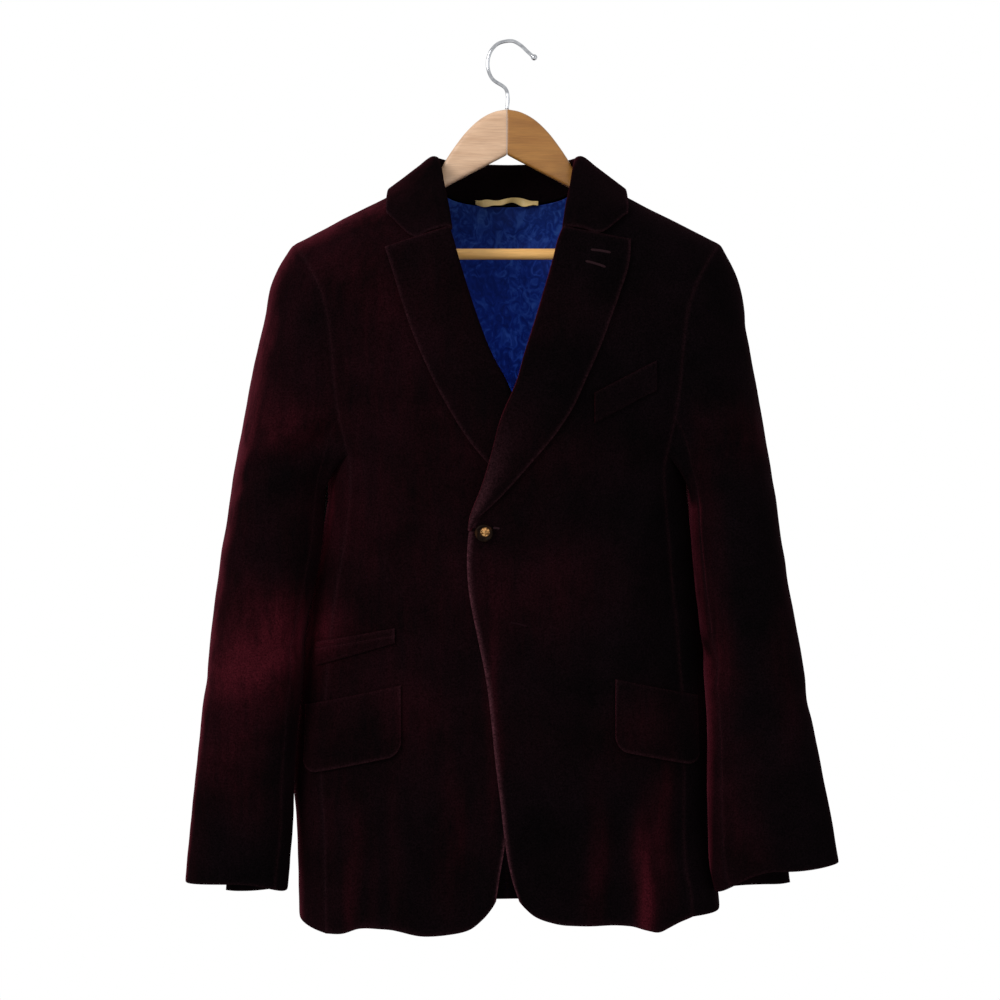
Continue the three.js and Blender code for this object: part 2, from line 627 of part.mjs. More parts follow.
// The armhole as a closed line of points with the cloth's own normals, from the tip round the front.
function armholeLine(side) {
  const line = [];
  const steps = ARMHOLE_STEPS;
  const sideways = new THREE.Vector3(handed(side), 0, 0);
  const up = new THREE.Vector3(0, 0, 1);
  const addPanel = (facing, from, to) => {
    for (let k = 0; k < steps; k += 1) {
      const share = THREE.MathUtils.lerp(from, to, k / steps);
      const z = THREE.MathUtils.lerp(ARMHOLE[0].z, ARMHOLE_BOTTOM, share * share);
      const point = bodySurface(handed(side) * read(ARMHOLE, 'z', facing, z), z, facing);
      line.push({ point, normal: bodyNormal(point, facing), away: sideways });
    }
  };
  addPanel('front', 0, 1);
  for (let k = 0; k < steps; k += 1) {
    const share = 1 - (2 * k) / steps;
    const z = armholeFloor(share);
    const point = sideOffsetPoint(side, share, z, 0);
    line.push({ point, normal: sideNormal(side, share * SEAM_TURN, z), away: up });
  }
  addPanel('back', 1, 0);
  return line;
}

function roundAngle(point) {
  const middle = (ARMHOLE[0].z + ARMHOLE_BOTTOM) / 2;
  const angle = THREE.MathUtils.radToDeg(Math.atan2(-point.y, point.z - middle));
  return (angle + 360) % 360;
}

// Where the armhole stands at an angle: its point, its normal and the way the sleeve leaves it.
function armholeAt(line, angle) {
  const turn = ((angle % 360) + 360) % 360;
  for (let k = 0; k < line.length; k += 1) {
    const here = line[k];
    const next = line[(k + 1) % line.length];
    const from = roundAngle(here.point);
    let to = roundAngle(next.point);
    if (to < from - 180) {
      to += 360;
    }
    const reached = turn < from ? turn + 360 : turn;
    if (reached >= from && reached <= to) {
      const share = (reached - from) / (to - from);
      const point = here.point.clone().lerp(next.point, share);
      const normal = here.normal.clone().lerp(next.normal, share).normalize();
      const along = next.point.clone().sub(here.point).normalize();
      const leaving = along.cross(normal).normalize();
      if (leaving.dot(here.away) < 0) {
        leaving.negate();
      }
      return { point, normal, leaving };
    }
  }
  return undefined;
}

function sleeveFold(side, angle, z) {
  let height = 0;
  for (const fold of SLEEVE_FOLDS[side]) {
    const turn = ((angle - fold.angle + 540) % 360) - 180;
    const across = (z - fold.z - fold.slant * turn) / fold.width;
    const reach = turn / fold.reach;
    height += fold.height * Math.exp(-across * across - reach * reach);
  }
  return height;
}

// A ring of the sleeve below the cap.
function sleeveRing(side, angle, z) {
  const { rows, cuff } = SLEEVES[side];
  const inner = read(rows, 'z', 'inner', z);
  const outer = read(rows, 'z', 'outer', z);
  const front = read(rows, 'z', 'front', z);
  const back = read(rows, 'z', 'back', z);
  const radians = THREE.MathUtils.degToRad(angle);
  const c = Math.cos(radians);
  const s = Math.sin(radians);
  const power = 2 / SLEEVE_SQUARENESS;
  const x = (inner + outer) / 2 + ((outer - inner) / 2) * Math.sign(c) * Math.abs(c) ** power;
  const y = (back - front) / 2 - ((back + front) / 2) * Math.sign(s) * Math.abs(s) ** power;
  const down = (rows[0].z - z) / (rows[0].z - rows.at(-1).z);
  const tilt = (s > 0 ? cuff.front * s : -cuff.back * s) + (c > 0 ? cuff.outer * c : -cuff.inner * c);
  return new THREE.Vector3(handed(side) * x, y, z + tilt * down ** 4);
}

// Moves a point of the sleeve out to where it rests on the body's side, more so further from the armhole.
function restOnBody(side, point, down) {
  const share = smoothstep(0.1, 0.7, down);
  const depth = read(BODY, 'z', point.y < 0 ? 'front' : 'back', point.z);
  const away = Math.min(Math.abs(point.y) / depth, 0.999);
  const halfWidth = read(BODY, 'z', side, point.z) * (1 - away ** BODY_SQUARENESS) ** (1 / BODY_SQUARENESS);
  const short = halfWidth + SLEEVE_REST - handed(side) * point.x;
  if (short > 0) {
    point.x += handed(side) * short * share;
  }
  return point;
}

// The sleeve's face: down runs 0 to 1 over the cap and 1 to 2 from the underarm to the cuff.
function sleeveFace(side, line, angle, down) {
  const { rows, capFullness } = SLEEVES[side];
  const cuffZ = rows.at(-1).z;
  if (down >= 1) {
    return restOnBody(side, sleeveRing(side, angle, THREE.MathUtils.lerp(rows[0].z, cuffZ, down - 1)), down);
  }
  const start = armholeAt(line, angle);
  const end = sleeveRing(side, angle, rows[0].z);
  const radians = THREE.MathUtils.degToRad(angle);
  const height = (1 + Math.cos(radians)) / 2;
  const level = CAP_LEVEL * (Math.sin(radians) ** 2 + smoothstep(0.5, 1, -Math.cos(radians)));
  const outward = new THREE.Vector3(handed(side), 0, 0);
  const leaving = start.leaving.clone().lerp(outward, level).normalize();
  const from = start.point.addScaledVector(start.leaving, ARMHOLE_GAP);
  leaving.multiplyScalar(THREE.MathUtils.lerp(UNDERARM_TURN, capFullness, height));
  const below = sleeveRing(side, angle, rows[0].z - 4);
  const arriving = below.sub(end).normalize().multiplyScalar(from.distanceTo(end) * CAP_DROP);
  return restOnBody(side, hermitePoint(from, leaving, end, arriving, down), down);
}

function sleevePoint(side, line, angle, down, offset) {
  const point = sleeveFace(side, line, angle, down);
  const across = sleeveFace(side, line, angle + 1.5, down).sub(sleeveFace(side, line, angle - 1.5, down));
  const above = sleeveFace(side, line, angle, Math.max(down - 0.01, 0));
  const below = sleeveFace(side, line, angle, Math.min(down + 0.01, 2));
  const normal = below.sub(above).cross(across).normalize().multiplyScalar(-handed(side));
  return point.addScaledVector(normal, offset + sleeveFold(side, angle, point.z));
}

const SLEEVE_ROWS = [0, 0.06, 0.16, 0.3, 0.46, 0.64, 0.82, 1, 1.12, 1.24, 1.36, 1.48, 1.61, 1.74, 1.87, 2];
const TOP_SLEEVE_LINES = [-65, -48, -32, -19, -9, 0, 9, 19, 32, 48, 66, 84, 102, 121, 140];
const UNDER_SLEEVE_LINES = [140, 152, 166, 180, 194, 208, 224, 242, 260, 278, 295];

function buildSleeve(side) {
  const line = armholeLine(side);
  const cuffZ = SLEEVES[side].rows.at(-1).z;
  const gap = SLEEVE_SEAM_GAP;
  const share = (lines, j) => (lines[j] - lines[0]) / (lines.at(-1) - lines[0]);
  const backSeam = UNDER_SLEEVE_LINES.at(-1);
  const frontSeam = UNDER_SLEEVE_LINES[0];
  const ventShare = (down) => {
    const z = THREE.MathUtils.lerp(SLEEVES[side].rows[0].z, cuffZ, Math.max(down - 1, 0));
    return smoothstep(cuffZ + VENT.length, cuffZ, z);
  };
  const topAt = (i, j, offset) => {
    const down = SLEEVE_ROWS[i];
    const back = THREE.MathUtils.lerp(backSeam, VENT.topAngle, ventShare(down)) - 360 + gap;
    const angle = THREE.MathUtils.lerp(back, frontSeam - gap, share(TOP_SLEEVE_LINES, j));
    return sleevePoint(side, line, angle, down, offset);
  };
  const underAt = (i, j, offset) => {
    const down = SLEEVE_ROWS[i];
    const back = THREE.MathUtils.lerp(backSeam, VENT.underAngle, ventShare(down)) - gap;
    const angle = THREE.MathUtils.lerp(frontSeam + gap, back, share(UNDER_SLEEVE_LINES, j));
    return sleevePoint(side, line, angle, down, offset);
  };
  const rows = SLEEVE_ROWS.length;
  wall(`top_sleeve_${side}`, rows, TOP_SLEEVE_LINES.length, topAt, 0, -CLOTH, VELOUR);
  wall(`under_sleeve_${side}`, rows, UNDER_SLEEVE_LINES.length, underAt, 0, -CLOTH, VELOUR);
}

// Lapels: a leaf on the front that turns round the front's edge and ends just inside it.
function buildLapel(side) {
  const edge = LAPEL_EDGE[side];
  const leafSteps = LAPEL_LEAF_STEPS;
  const leaf = LAPEL_GAP + LAPEL / 2;
  const inside = -CLOTH - LAYER_GAP - LAPEL / 2;
  const radius = (leaf - inside) / 2;
  const middle = (leaf + inside) / 2;
  const columns = leafSteps + LAPEL_TURN_STEPS + 2;
  const pointAt = (i, j, offset) => {
    const row = edge[i];
    const rollX = read(FRONT_EDGE, 'z', side, row.roll);
    const slope = (read(FRONT_EDGE, 'z', side, row.roll - 6) - read(FRONT_EDGE, 'z', side, row.roll + 6)) / -12;
    const away = new THREE.Vector2(-1, slope).normalize();
    if (j <= leafSteps) {
      const share = j / leafSteps;
      const x = THREE.MathUtils.lerp(row.x, rollX, share);
      const z = THREE.MathUtils.lerp(row.z, row.roll, share);
      return onFront(side, x, z, leaf + offset);
    }
    if (j <= leafSteps + LAPEL_TURN_STEPS) {
      const angle = ((j - leafSteps) / LAPEL_TURN_STEPS) * Math.PI;
      const reach = Math.sin(angle) * (radius + offset) + SEAM_GAP;
      const depth = middle + Math.cos(angle) * (radius + offset);
      return onFront(side, rollX + away.x * reach, row.roll + away.y * reach, depth);
    }
    const x = rollX - away.x * LAPEL_TURN_INSIDE;
    return onFront(side, x, row.roll - away.y * LAPEL_TURN_INSIDE, inside - offset);
  };
  wall(`lapel_${side}`, edge.length, columns, pointAt, LAPEL / 2, -LAPEL / 2, VELOUR);
}

// Collar: up the stand from the neck seam, over the fold and down the fall.

// Moves a point straight off the body until it is `clear` outside it.
function liftOff(point, clear) {
  const facing = point.y < 0 ? 'front' : 'back';
  for (let k = 0; k < 4; k += 1) {
    const step = 0.4;
    const normal = bodyNormal(point, facing);
    const ahead = point.clone().addScaledVector(normal, step);
    const level = bodyLevel(point.x, point.y, point.z, facing);
    const slope = (bodyLevel(ahead.x, ahead.y, ahead.z, facing) - level) / step;
    const distance = (level - 1) / slope;
    if (distance < clear) {
      point.addScaledVector(normal, clear - distance);
    }
  }
  return point;
}

function collarCurve(row, side) {
  const place = ([x, y, z], drop = 0) => new THREE.Vector3(handed(side) * x, y, z - drop);
  const [seam, fold, edge] = [place(row.seam), place(row.fold), place(row.edge)];
  const rise = fold.clone().sub(seam.clone().lerp(edge, 0.5)).normalize();
  const span = edge.clone().sub(seam);
  const lean = span.addScaledVector(rise, -span.dot(rise)).normalize();
  const back = fold.clone().addScaledVector(rise, -row.open * 0.9);
  const foldIn = back.clone().addScaledVector(lean, -row.open);
  const foldOut = back.addScaledVector(lean, row.open);
  const stand = seam.clone().lerp(foldIn, 0.5);
  const bend = row.bend ? place(row.bend, NOTCH_DROP[side]) : foldOut.clone().lerp(edge, 0.6);
  const fall = foldOut.clone().lerp(bend, 0.5);
  const corners = [seam, stand, foldIn, fold, foldOut, fall, bend, edge];
  const points = new THREE.CatmullRomCurve3(corners, false, 'centripetal').getPoints(COLLAR_ACROSS - 1);
  points.slice(COLLAR_FALL).forEach((point) => liftOff(point, COLLAR / 2 + COLLAR_CLEAR));
  return points;
}

function buildCollar() {
  const half = COLLAR_ROWS.length - 1;
  const rows = half * 2 + 1;
  const lines = Array.from({ length: rows }, (_, i) => {
    const row = COLLAR_ROWS[Math.abs(i - half)];
    return collarCurve(row, i < half ? 'right' : 'left');
  });
  const pointAt = (i, j, offset) => {
    const down = lines[i][Math.min(j + 1, COLLAR_ACROSS - 1)].clone().sub(lines[i][Math.max(j - 1, 0)]);
    const along = lines[Math.min(i + 1, rows - 1)][j].clone().sub(lines[Math.max(i - 1, 0)][j]);
    return lines[i][j].clone().addScaledVector(down.cross(along).normalize(), offset);
  };
  wall('collar', rows, COLLAR_ACROSS, pointAt, COLLAR / 2, -COLLAR / 2, VELOUR);
}

// Pockets.

function buildFlap(side) {
  const { inner, top, height, slope, outerShare, corner } = HIP_FLAPS[side];
  const columns = FLAP_COLUMNS;
  const rows = 5;
  const outer = outerShare * read(BODY, 'z', side, top - height / 2);
  const pointAt = (i, j, offset) => {
    const x = THREE.MathUtils.lerp(inner, outer, columns[j]);
    const fromEnd = Math.min(x - inner, outer - x);
    const short = fromEnd < corner ? corner - Math.sqrt(corner ** 2 - (corner - fromEnd) ** 2) : 0;
    const z = top - slope * (x - inner) - (height - short) * (i / (rows - 1));
    return onFront(side, x, z, offset);
  };
  wall(`flap_${side}`, rows, columns.length, pointAt, LAYER_GAP + FLAP, LAYER_GAP, VELOUR);
}

function buildTicketJet(name, above, below) {
  const { inner, slit, slope, outerShare } = TICKET_POCKET;
  const columns = 8;
  const rows = 3;
  const outer = outerShare * read(BODY, 'z', 'right', slit);
  const pointAt = (i, j, offset) => {
    const across = j / (columns - 1);
    const x = THREE.MathUtils.lerp(inner, outer, across);
    const z = slit - slope * (x - inner) + THREE.MathUtils.lerp(above(across), below(across), i / (rows - 1));
    return onFront('right', x, z, offset);
  };
  wall(name, rows, columns, pointAt, LAYER_GAP + FLAP, LAYER_GAP, VELOUR);
}

function buildTicketPocket() {
  const { upper, lower, gape } = TICKET_POCKET;
  buildTicketJet('ticket_jet_upper', () => upper, () => SEAM_GAP / 2);
  buildTicketJet('ticket_jet_lower', () => -SEAM_GAP / 2, (across) => -lower - gape * across);
}

function buildChestWelt() {
  const { inner, outer, top, rise, height } = CHEST_WELT;
  const columns = 6;
  const rows = 4;
  const pointAt = (i, j, offset) => {
    const x = THREE.MathUtils.lerp(inner, outer, j / (columns - 1));
    const z = top + rise * (x - inner) - height * (i / (rows - 1));
    return onFront('left', x, z, offset);
  };
  wall('chest_welt', rows, columns, pointAt, LAYER_GAP + FLAP, LAYER_GAP, VELOUR);
}

// Hanging loop across the back neck, bowed forward off the collar stand.
function buildLoop() {
  const columns = 11;
  const rows = 3;
  const pointAt = (i, j, offset) => {
    const across = (j / (columns - 1)) * 2 - 1;
    const x = LOOP.reach * across;
    const seat = read(COLLAR_ROWS.map(({ seam }) => ({ x: seam[0], y: seam[1] })).slice(0, 4), 'x', 'y', Math.abs(x));
    const bow = LOOP.bow * (1 - across ** 4);
    const wave = Math.sin(across * 7) * 0.8;
    const y = seat - COLLAR / 2 - LAYER_GAP - LOOP.thickness - bow;
    return new THREE.Vector3(x, y - offset, LOOP.z + wave - LOOP.height * (i / (rows - 1) - 0.5));
  };
  wall('hanging_loop', rows, columns, pointAt, LOOP.thickness / 2, -LOOP.thickness / 2, RIBBON);
}

// Button: a turned disc with a raised rim and a sunk face, lying on the left front.
function buildButton() {
  const { x, z, radius, thickness, rim } = BUTTON;
  const profile = [
    [0, 0], [radius * 0.72, 0], [radius * 0.94, thickness * 0.28], [radius, thickness * 0.55],
    [radius * 0.95, thickness * 0.88], [radius * 0.84, thickness], [radius * 0.7, thickness * 0.95],
    [radius * 0.58, thickness - rim], [0, thickness - rim * 1.15],
  ].map(([r, h]) => new THREE.Vector2(r, h));
  const turned = new THREE.LatheGeometry(profile, BUTTON_SIDES);
  const mesh = new THREE.Mesh(weld(turned), HORN);
  const seat = onFront('left', x, z, LAYER_GAP);
  const normal = bodyNormal(bodySurface(x, z, 'front'), 'front');
  mesh.name = 'button';
  mesh.quaternion.setFromUnitVectors(new THREE.Vector3(0, 1, 0), normal);
  mesh.position.copy(seat);
  jacket.add(mesh);
}

// Keeps one vertex at each place, so that the surface is closed.
function weld(geometry) {
  const position = geometry.getAttribute('position');
  const found = new Map();
  const points = [];
  const match = [];
  for (let i = 0; i < position.count; i += 1) {
    const place = [position.getX(i), position.getY(i), position.getZ(i)].map((value) => Math.round(value * 1e4) / 1e4 + 0);
    const key = place.join(' ');
    if (!found.has(key)) {
      found.set(key, points.length / 3);
      points.push(...place);
    }
    match.push(found.get(key));
  }
  const index = [];
  for (let i = 0; i < geometry.index.count; i += 3) {
    const corners = [0, 1, 2].map((k) => match[geometry.index.getX(i + k)]);
    if (new Set(corners).size === 3) {
      index.push(...corners);
    }
  }
  const welded = new THREE.BufferGeometry();
  welded.setAttribute('position', new THREE.Float32BufferAttribute(points, 3));
  welded.setIndex(index);
  return welded;
}

// Hanger.

// One corner-rounded section of an arm, upright across the arm at x.
function armSection(side, { x, top, bottom, half }) {
  const bevel = Math.min(half * 0.45, (top - bottom) * 0.3);
  const outline = [
    [0, top], [half - bevel, top - bevel * 0.25], [half, top - bevel * 1.15], [half, bottom + bevel],
    [half - bevel, bottom], [bevel - half, bottom], [-half, bottom + bevel], [-half, top - bevel * 1.15],
    [bevel - half, top - bevel * 0.25],
  ];
  return outline.map(([y, z]) => new THREE.Vector3(handed(side) * x, y, z));
}

function toManifold(mesh) {
  const position = mesh.geometry.getAttribute('position');
  return new wasm.Manifold(new wasm.Mesh({
    numProp: 3,
    vertProperties: new Float32Array(position.array),
    triVerts: new Uint32Array(mesh.geometry.index.array),
  }));
}

function fromManifold(manifold) {
  const { vertProperties, triVerts } = manifold.getMesh();
  const geometry = new THREE.BufferGeometry();
  geometry.setAttribute('position', new THREE.Float32BufferAttribute(vertProperties, 3));
  geometry.setIndex(Array.from(triVerts));
  return geometry;
}

// The dowel's sections, `grow` larger all round for the socket it stands in.
function dowelSections(grow) {
  const sides = BAR_SIDES;
  return [-1, 1].map((end) => Array.from({ length: sides }, (_, k) => {
    const angle = (k / sides) * Math.PI * 2;
    const radius = BAR.radius + grow;
    return new THREE.Vector3(end * (BAR.reach + grow), Math.cos(angle) * radius, BAR.z + Math.sin(angle) * radius);
  }));
}

function buildHanger() {
  const socket = bar('socket', dowelSections(SEAM_GAP), PALE_WOOD);
  jacket.remove(socket);
  for (const side of SIDES) {
    const arm = bar(`hanger_arm_${side}`, ARM_OUTLINE.map((row) => armSection(side, row)), PALE_WOOD);
    arm.geometry = fromManifold(toManifold(arm).subtract(toManifold(socket)));
  }
  bar('hanger_bar', dowelSections(0), PALE_WOOD);
}

function buildHook() {
  const path = new THREE.CatmullRomCurve3(HOOK_PATH.map(([x, z]) => new THREE.Vector3(x, 0, z)));
  const steps = HOOK_STEPS;
  const sides = HOOK_SIDES;
  const length = path.getLength();
  const sections = [];
  for (let i = 0; i <= steps; i += 1) {
    const share = i / steps;
    const centre = path.getPointAt(share);
    const ahead = path.getTangentAt(share);
    const across = new THREE.Vector3(ahead.z, 0, -ahead.x);
    const toTip = (1 - share) * length;
    const swell = Math.sqrt(Math.max(HOOK_TIP ** 2 - (toTip - HOOK_TIP) ** 2, 0));
    const radius = Math.max(toTip < 2 * HOOK_TIP ? swell : 0, toTip < HOOK_TIP ? 0.5 : HOOK_WIRE);
    sections.push(Array.from({ length: sides }, (_, k) => {
      const angle = (k / sides) * Math.PI * 2;
      const offset = across.clone().multiplyScalar(Math.cos(angle) * radius);
      return offset.add(new THREE.Vector3(0, Math.sin(angle) * radius, 0)).add(centre);
    }));
  }
  bar('hanger_hook', sections, CHROME);
}

for (const side of SIDES) {
  buildFront(side);
  buildSide(side);
  buildBack(side);
  buildLining(side);
  buildSleeve(side);
  buildLapel(side);
  buildFlap(side);
}
buildCollar();
buildTicketPocket();
buildChestWelt();
buildLoop();
buildButton();
buildHanger();
buildHook();

export default jacket;
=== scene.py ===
import math
from functools import partial

import bpy
import numpy as np
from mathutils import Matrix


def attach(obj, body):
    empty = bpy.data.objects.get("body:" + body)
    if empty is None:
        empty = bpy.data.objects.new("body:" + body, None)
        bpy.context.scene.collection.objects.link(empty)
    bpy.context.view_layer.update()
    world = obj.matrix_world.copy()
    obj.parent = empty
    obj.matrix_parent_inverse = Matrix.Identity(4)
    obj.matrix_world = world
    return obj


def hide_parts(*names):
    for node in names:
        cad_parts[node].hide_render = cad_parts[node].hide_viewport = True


# Velour blazer on a wooden wishbone hanger. Shapes are worked out in millimetres in the frame's own
# axes: +Z up, the front towards -Y, the wearer's left towards +X, the origin inside the hook's top.

MM = 0.001
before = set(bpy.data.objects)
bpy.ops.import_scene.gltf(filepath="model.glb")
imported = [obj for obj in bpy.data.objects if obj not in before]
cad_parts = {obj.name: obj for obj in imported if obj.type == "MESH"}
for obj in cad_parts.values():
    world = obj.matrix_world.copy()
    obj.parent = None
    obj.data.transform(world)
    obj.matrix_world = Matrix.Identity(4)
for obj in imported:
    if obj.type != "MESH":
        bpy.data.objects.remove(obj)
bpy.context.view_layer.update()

# Cloth thicknesses and layers. A gap below zero lets the finished edges tuck into each other.
CLOTH = 2.2
LAPEL = 2.6
COLLAR = 3.0
FLAP = 2.4
LINING = 1.0
SEAM_GAP = -1.0
ARMHOLE_GAP = -1.4
LAYER_GAP = 0.9
POCKET_LIFT = LAYER_GAP + FLAP
LAPEL_GAP = 1.6
TURN_INSET = 2.2

# The shoulder line.
NECK_X = 82.0
NECK_Z = -138.4
TIP_X = 219.0
SHOULDER_SLOPE = 0.505
TIP_Z = NECK_Z - SHOULDER_SLOPE * (TIP_X - NECK_X)
SHOULDER_ROUND = 90.0
SHOULDER_POWER = (0.62, 0.48)
NECK_SOFTNESS = 60.0
BODY_SQUARENESS = 2.6
SLEEVE_SQUARENESS = 2.25


class Table:
    """A short table with named columns, read as a smooth curve along its first column."""

    def __init__(self, names, *rows):
        names = names.split()
        values = np.array(rows, float).T
        self.column = dict(zip(names, values))
        self.key = values[0]
        self.way = 1.0 if self.key[1] > self.key[0] else -1.0

    def read(self, name, at):
        key, value = self.key, self.column[name]
        last = len(key) - 1
        before = np.maximum(np.arange(last + 1) - 1, 0)
        after = np.minimum(np.arange(last + 1) + 1, last)
        slope = (value[after] - value[before]) / (key[after] - key[before])
        at = np.asarray(at, float)
        i = np.searchsorted(self.way * key[1:-1], self.way * at, side="left")
        span = key[i + 1] - key[i]
        t = np.clip((at - key[i]) / span, 0, 1)
        return hermite(value[i], slope[i] * span, value[i + 1], slope[i + 1] * span, t)


def hermite(start, leaving, end, arriving, t):
    t2 = t * t
    t3 = t2 * t
    return (start * (2 * t3 - 3 * t2 + 1) + leaving * (t3 - 2 * t2 + t)
            + end * (3 * t2 - 2 * t3) + arriving * (t3 - t2))


def smoothstep(low, high, value):
    t = np.clip((value - low) / (high - low), 0, 1)
    return t * t * (3 - 2 * t)


def lerp(start, end, t):
    return start + (end - start) * t


def unit(vectors):
    return vectors / np.maximum(np.linalg.norm(vectors, axis=-1, keepdims=True), 1e-9)


def handed(side):
    return 1.0 if side == "left" else -1.0


# Tables of the jacket's shape.
BODY = Table(
    "z left right front back",
    (-120, 262, 262, 74, 56), (-200, 260, 260, 80, 60), (-260, 250, 250, 83, 64),
    (-320, 235, 235, 85, 66), (-380, 213, 213, 85, 65), (-425, 187, 187, 83, 62),
    (-460, 184, 184, 80, 58), (-512, 190.5, 191, 75, 53), (-553, 194.5, 199.5, 73, 51),
    (-594, 199.5, 206.5, 73, 52), (-635, 203.5, 210.5, 74, 55), (-677, 207.5, 214.5, 75.5, 58),
    (-718, 208.8, 218, 77, 61), (-759, 208.5, 219.5, 77.5, 63), (-800, 208.5, 216.5, 78, 65),
    (-845, 211.5, 214.5, 78, 66), (-870, 217, 214, 78, 67), (-910, 219, 213, 78, 68),
)
FRONT_EDGE = Table(
    "z left right",
    (-138.4, 82, 82), (-158, 75, 75), (-178, 67.5, 68), (-196, 60.5, 62), (-212, 54, 57),
    (-230, 49.5, 52), (-260, 41, 43), (-290, 32, 33), (-325, 21, 19.5), (-356, 12, 3),
    (-391, -3, -11), (-425, -12, -20), (-455, -21, -27), (-478, -30, -32), (-492, -36, -36),
    (-511, -39, -38), (-541, -40, -39), (-571, -37, -36), (-611, -29, -29), (-651, -21, -21),
    (-691, -16, -15), (-731, -12, -10), (-771, -7, -5), (-821, -1, 3), (-850, 5, 8), (-871, 12, 11),
)
FRONT_HEM = {
    "left": Table(
        "x z", (12, -871), (17, -877), (26, -885), (38, -890.5), (60, -895.5), (120, -897),
        (135, -901), (148, -904), (160, -900), (183, -891),
    ),
    "right": Table(
        "x z", (11, -871), (15, -878), (24, -889), (38, -900), (60, -905), (82, -906),
        (115, -901), (148, -901.5), (165, -907), (182, -908),
    ),
}
HEM_SIDE = {"left": -889.0, "right": -896.0}
HEM_BACK = -893.0
ARMHOLE_BOTTOM = -425.0
ARMHOLE_DIP = 14.0
SIDE_SEAM_SHARE = 0.86
SIDE_SHARE = 1.015
ARMHOLE = Table(
    "z front back",
    (TIP_Z, TIP_X, TIP_X), (-216, 213.5, 214), (-230, 204, 206), (-256, 190, 194), (-282, 182, 187),
    (-321, 177, 181), (-361, 173.5, 176), (-400, 167, 168), (ARMHOLE_BOTTOM, 160.8, 160.8),
)
BACK_NECK = Table("x z", (0, -163), (30, -161.5), (57, -156.5), (72, -148.5), (NECK_X, NECK_Z))
OVERLAP_FULL = 46.0
OVERLAP_NONE = 112.0
LIFT = Table(
    "z lift", (-240, 0), (-290, 5.5), (-335, 10.3), (-490, 10.3), (-545, 3.2), (-910, 3.2),
)
SLEEVE_CAP = {"left": 52.0, "right": 84.0}
# How far the cuff lies above its lowest ring at the front, back, outer, inner and vent.
CUFF = {
    "left": {"front": 22, "back": 0, "outer": 28, "inner": -1.5, "vent": 25},
    "right": {"front": 9.5, "back": -6.5, "outer": 8.5, "inner": 0, "vent": 8.5},
}
SLEEVES = {
    "left": Table(
        "z inner outer front back",
        (-480, 184.2, 276.5, 71, 58), (-512, 185.5, 280.6, 72, 51), (-553, 189, 286, 74, 40),
        (-594, 194, 293.1, 75, 30), (-635, 198.3, 300, 77, 21), (-677, 201.3, 306.4, 79, 13),
        (-718, 202.6, 313.1, 79, 7), (-759, 202.8, 320.4, 77, 3), (-800, 203, 327.6, 74, -1),
        (-841, 205, 333.3, 70, -3), (-866, 211, 336.7, 66, -2),
    ),
    "right": Table(
        "z inner outer front back",
        (-480, 184.2, 285.5, 71, 58), (-512, 186, 289.9, 74, 49), (-553, 193, 295.2, 77, 37),
        (-594, 202, 299.6, 82, 23), (-635, 205.2, 302.4, 88.5, 8.5), (-677, 209, 307.5, 85, 5),
        (-718, 212.7, 311.7, 81, 2), (-759, 215.6, 316.2, 75, 1), (-800, 216.8, 320.7, 69, 1),
        (-841, 221, 325.2, 63, 1), (-867, 223.4, 327, 60, 1),
    ),
}
UNDERARM_TURN = 16.0
CAP_DROP = 1.05
SLEEVE_REST = 0.8
FRONT_SEAM = 140.0
BACK_SEAM = 295.0
SLEEVE_SEAM_GAP = -0.7
VENT_LENGTH = 95.0
VENT_TOP = 285.0
VENT_UNDER = 283.0

# Folds of the hanging cloth: from (x, top) down to (foot, bottom), width, height. Those the cut
# gives stand in the solids too; the finer ones are only here.
BODY_FOLDS = {
    "front": [
        (126, -735, 140, -940, 13, 6.5), (108, -770, 104, -930, 15, -3.5),
        (-140, -755, -146, -930, 14, -4.5), (-100, -750, -96, -920, 15, 4),
        (-34, -700, -44, -880, 12, -4), (150, -430, 118, -600, 18, 4), (-148, -430, -124, -555, 18, 4),
        (-70, -690, -84, -900, 11, 2.2), (-122, -700, -119, -900, 7, -1.6),
        (60, -740, 66, -920, 13, -2.2), (22, -640, 30, -860, 11, 1.6), (92, -560, 70, -760, 12, -1.3),
        (-60, -520, -72, -700, 12, -1.4), (140, -300, 128, -480, 10, -2),
        (-138, -310, -128, -480, 10, -2), (98, -250, 92, -400, 14, 1.5),
        (-96, -260, -92, -420, 14, 1.5), (-176, -640, -188, -830, 9, -1.8),
        (168, -760, 176, -920, 9, -2), (156, -640, 148, -800, 10, 1.4), (6, -560, 26, -700, 8, -1.2),
        (-12, -560, 4, -660, 7, 1),
    ],
    "back": [
        (96, -560, 112, -930, 20, 6), (-88, -600, -108, -930, 20, 6), (44, -700, 36, -930, 17, -4.5),
        (-40, -680, -50, -930, 18, -4), (130, -290, 150, -470, 20, 5), (-132, -300, -150, -480, 20, 5),
        (118, -330, 134, -520, 9, -2.2), (-116, -340, -132, -500, 9, -2.2),
        (70, -420, 60, -640, 13, 1.8), (-66, -400, -60, -620, 13, 1.8), (8, -620, 12, -900, 9, 1.6),
        (146, -620, 158, -900, 11, -2.4), (-150, -640, -160, -900, 11, -2.4),
        (30, -250, 34, -420, 16, 1.6), (-40, -240, -32, -400, 16, 1.4),
    ],
}
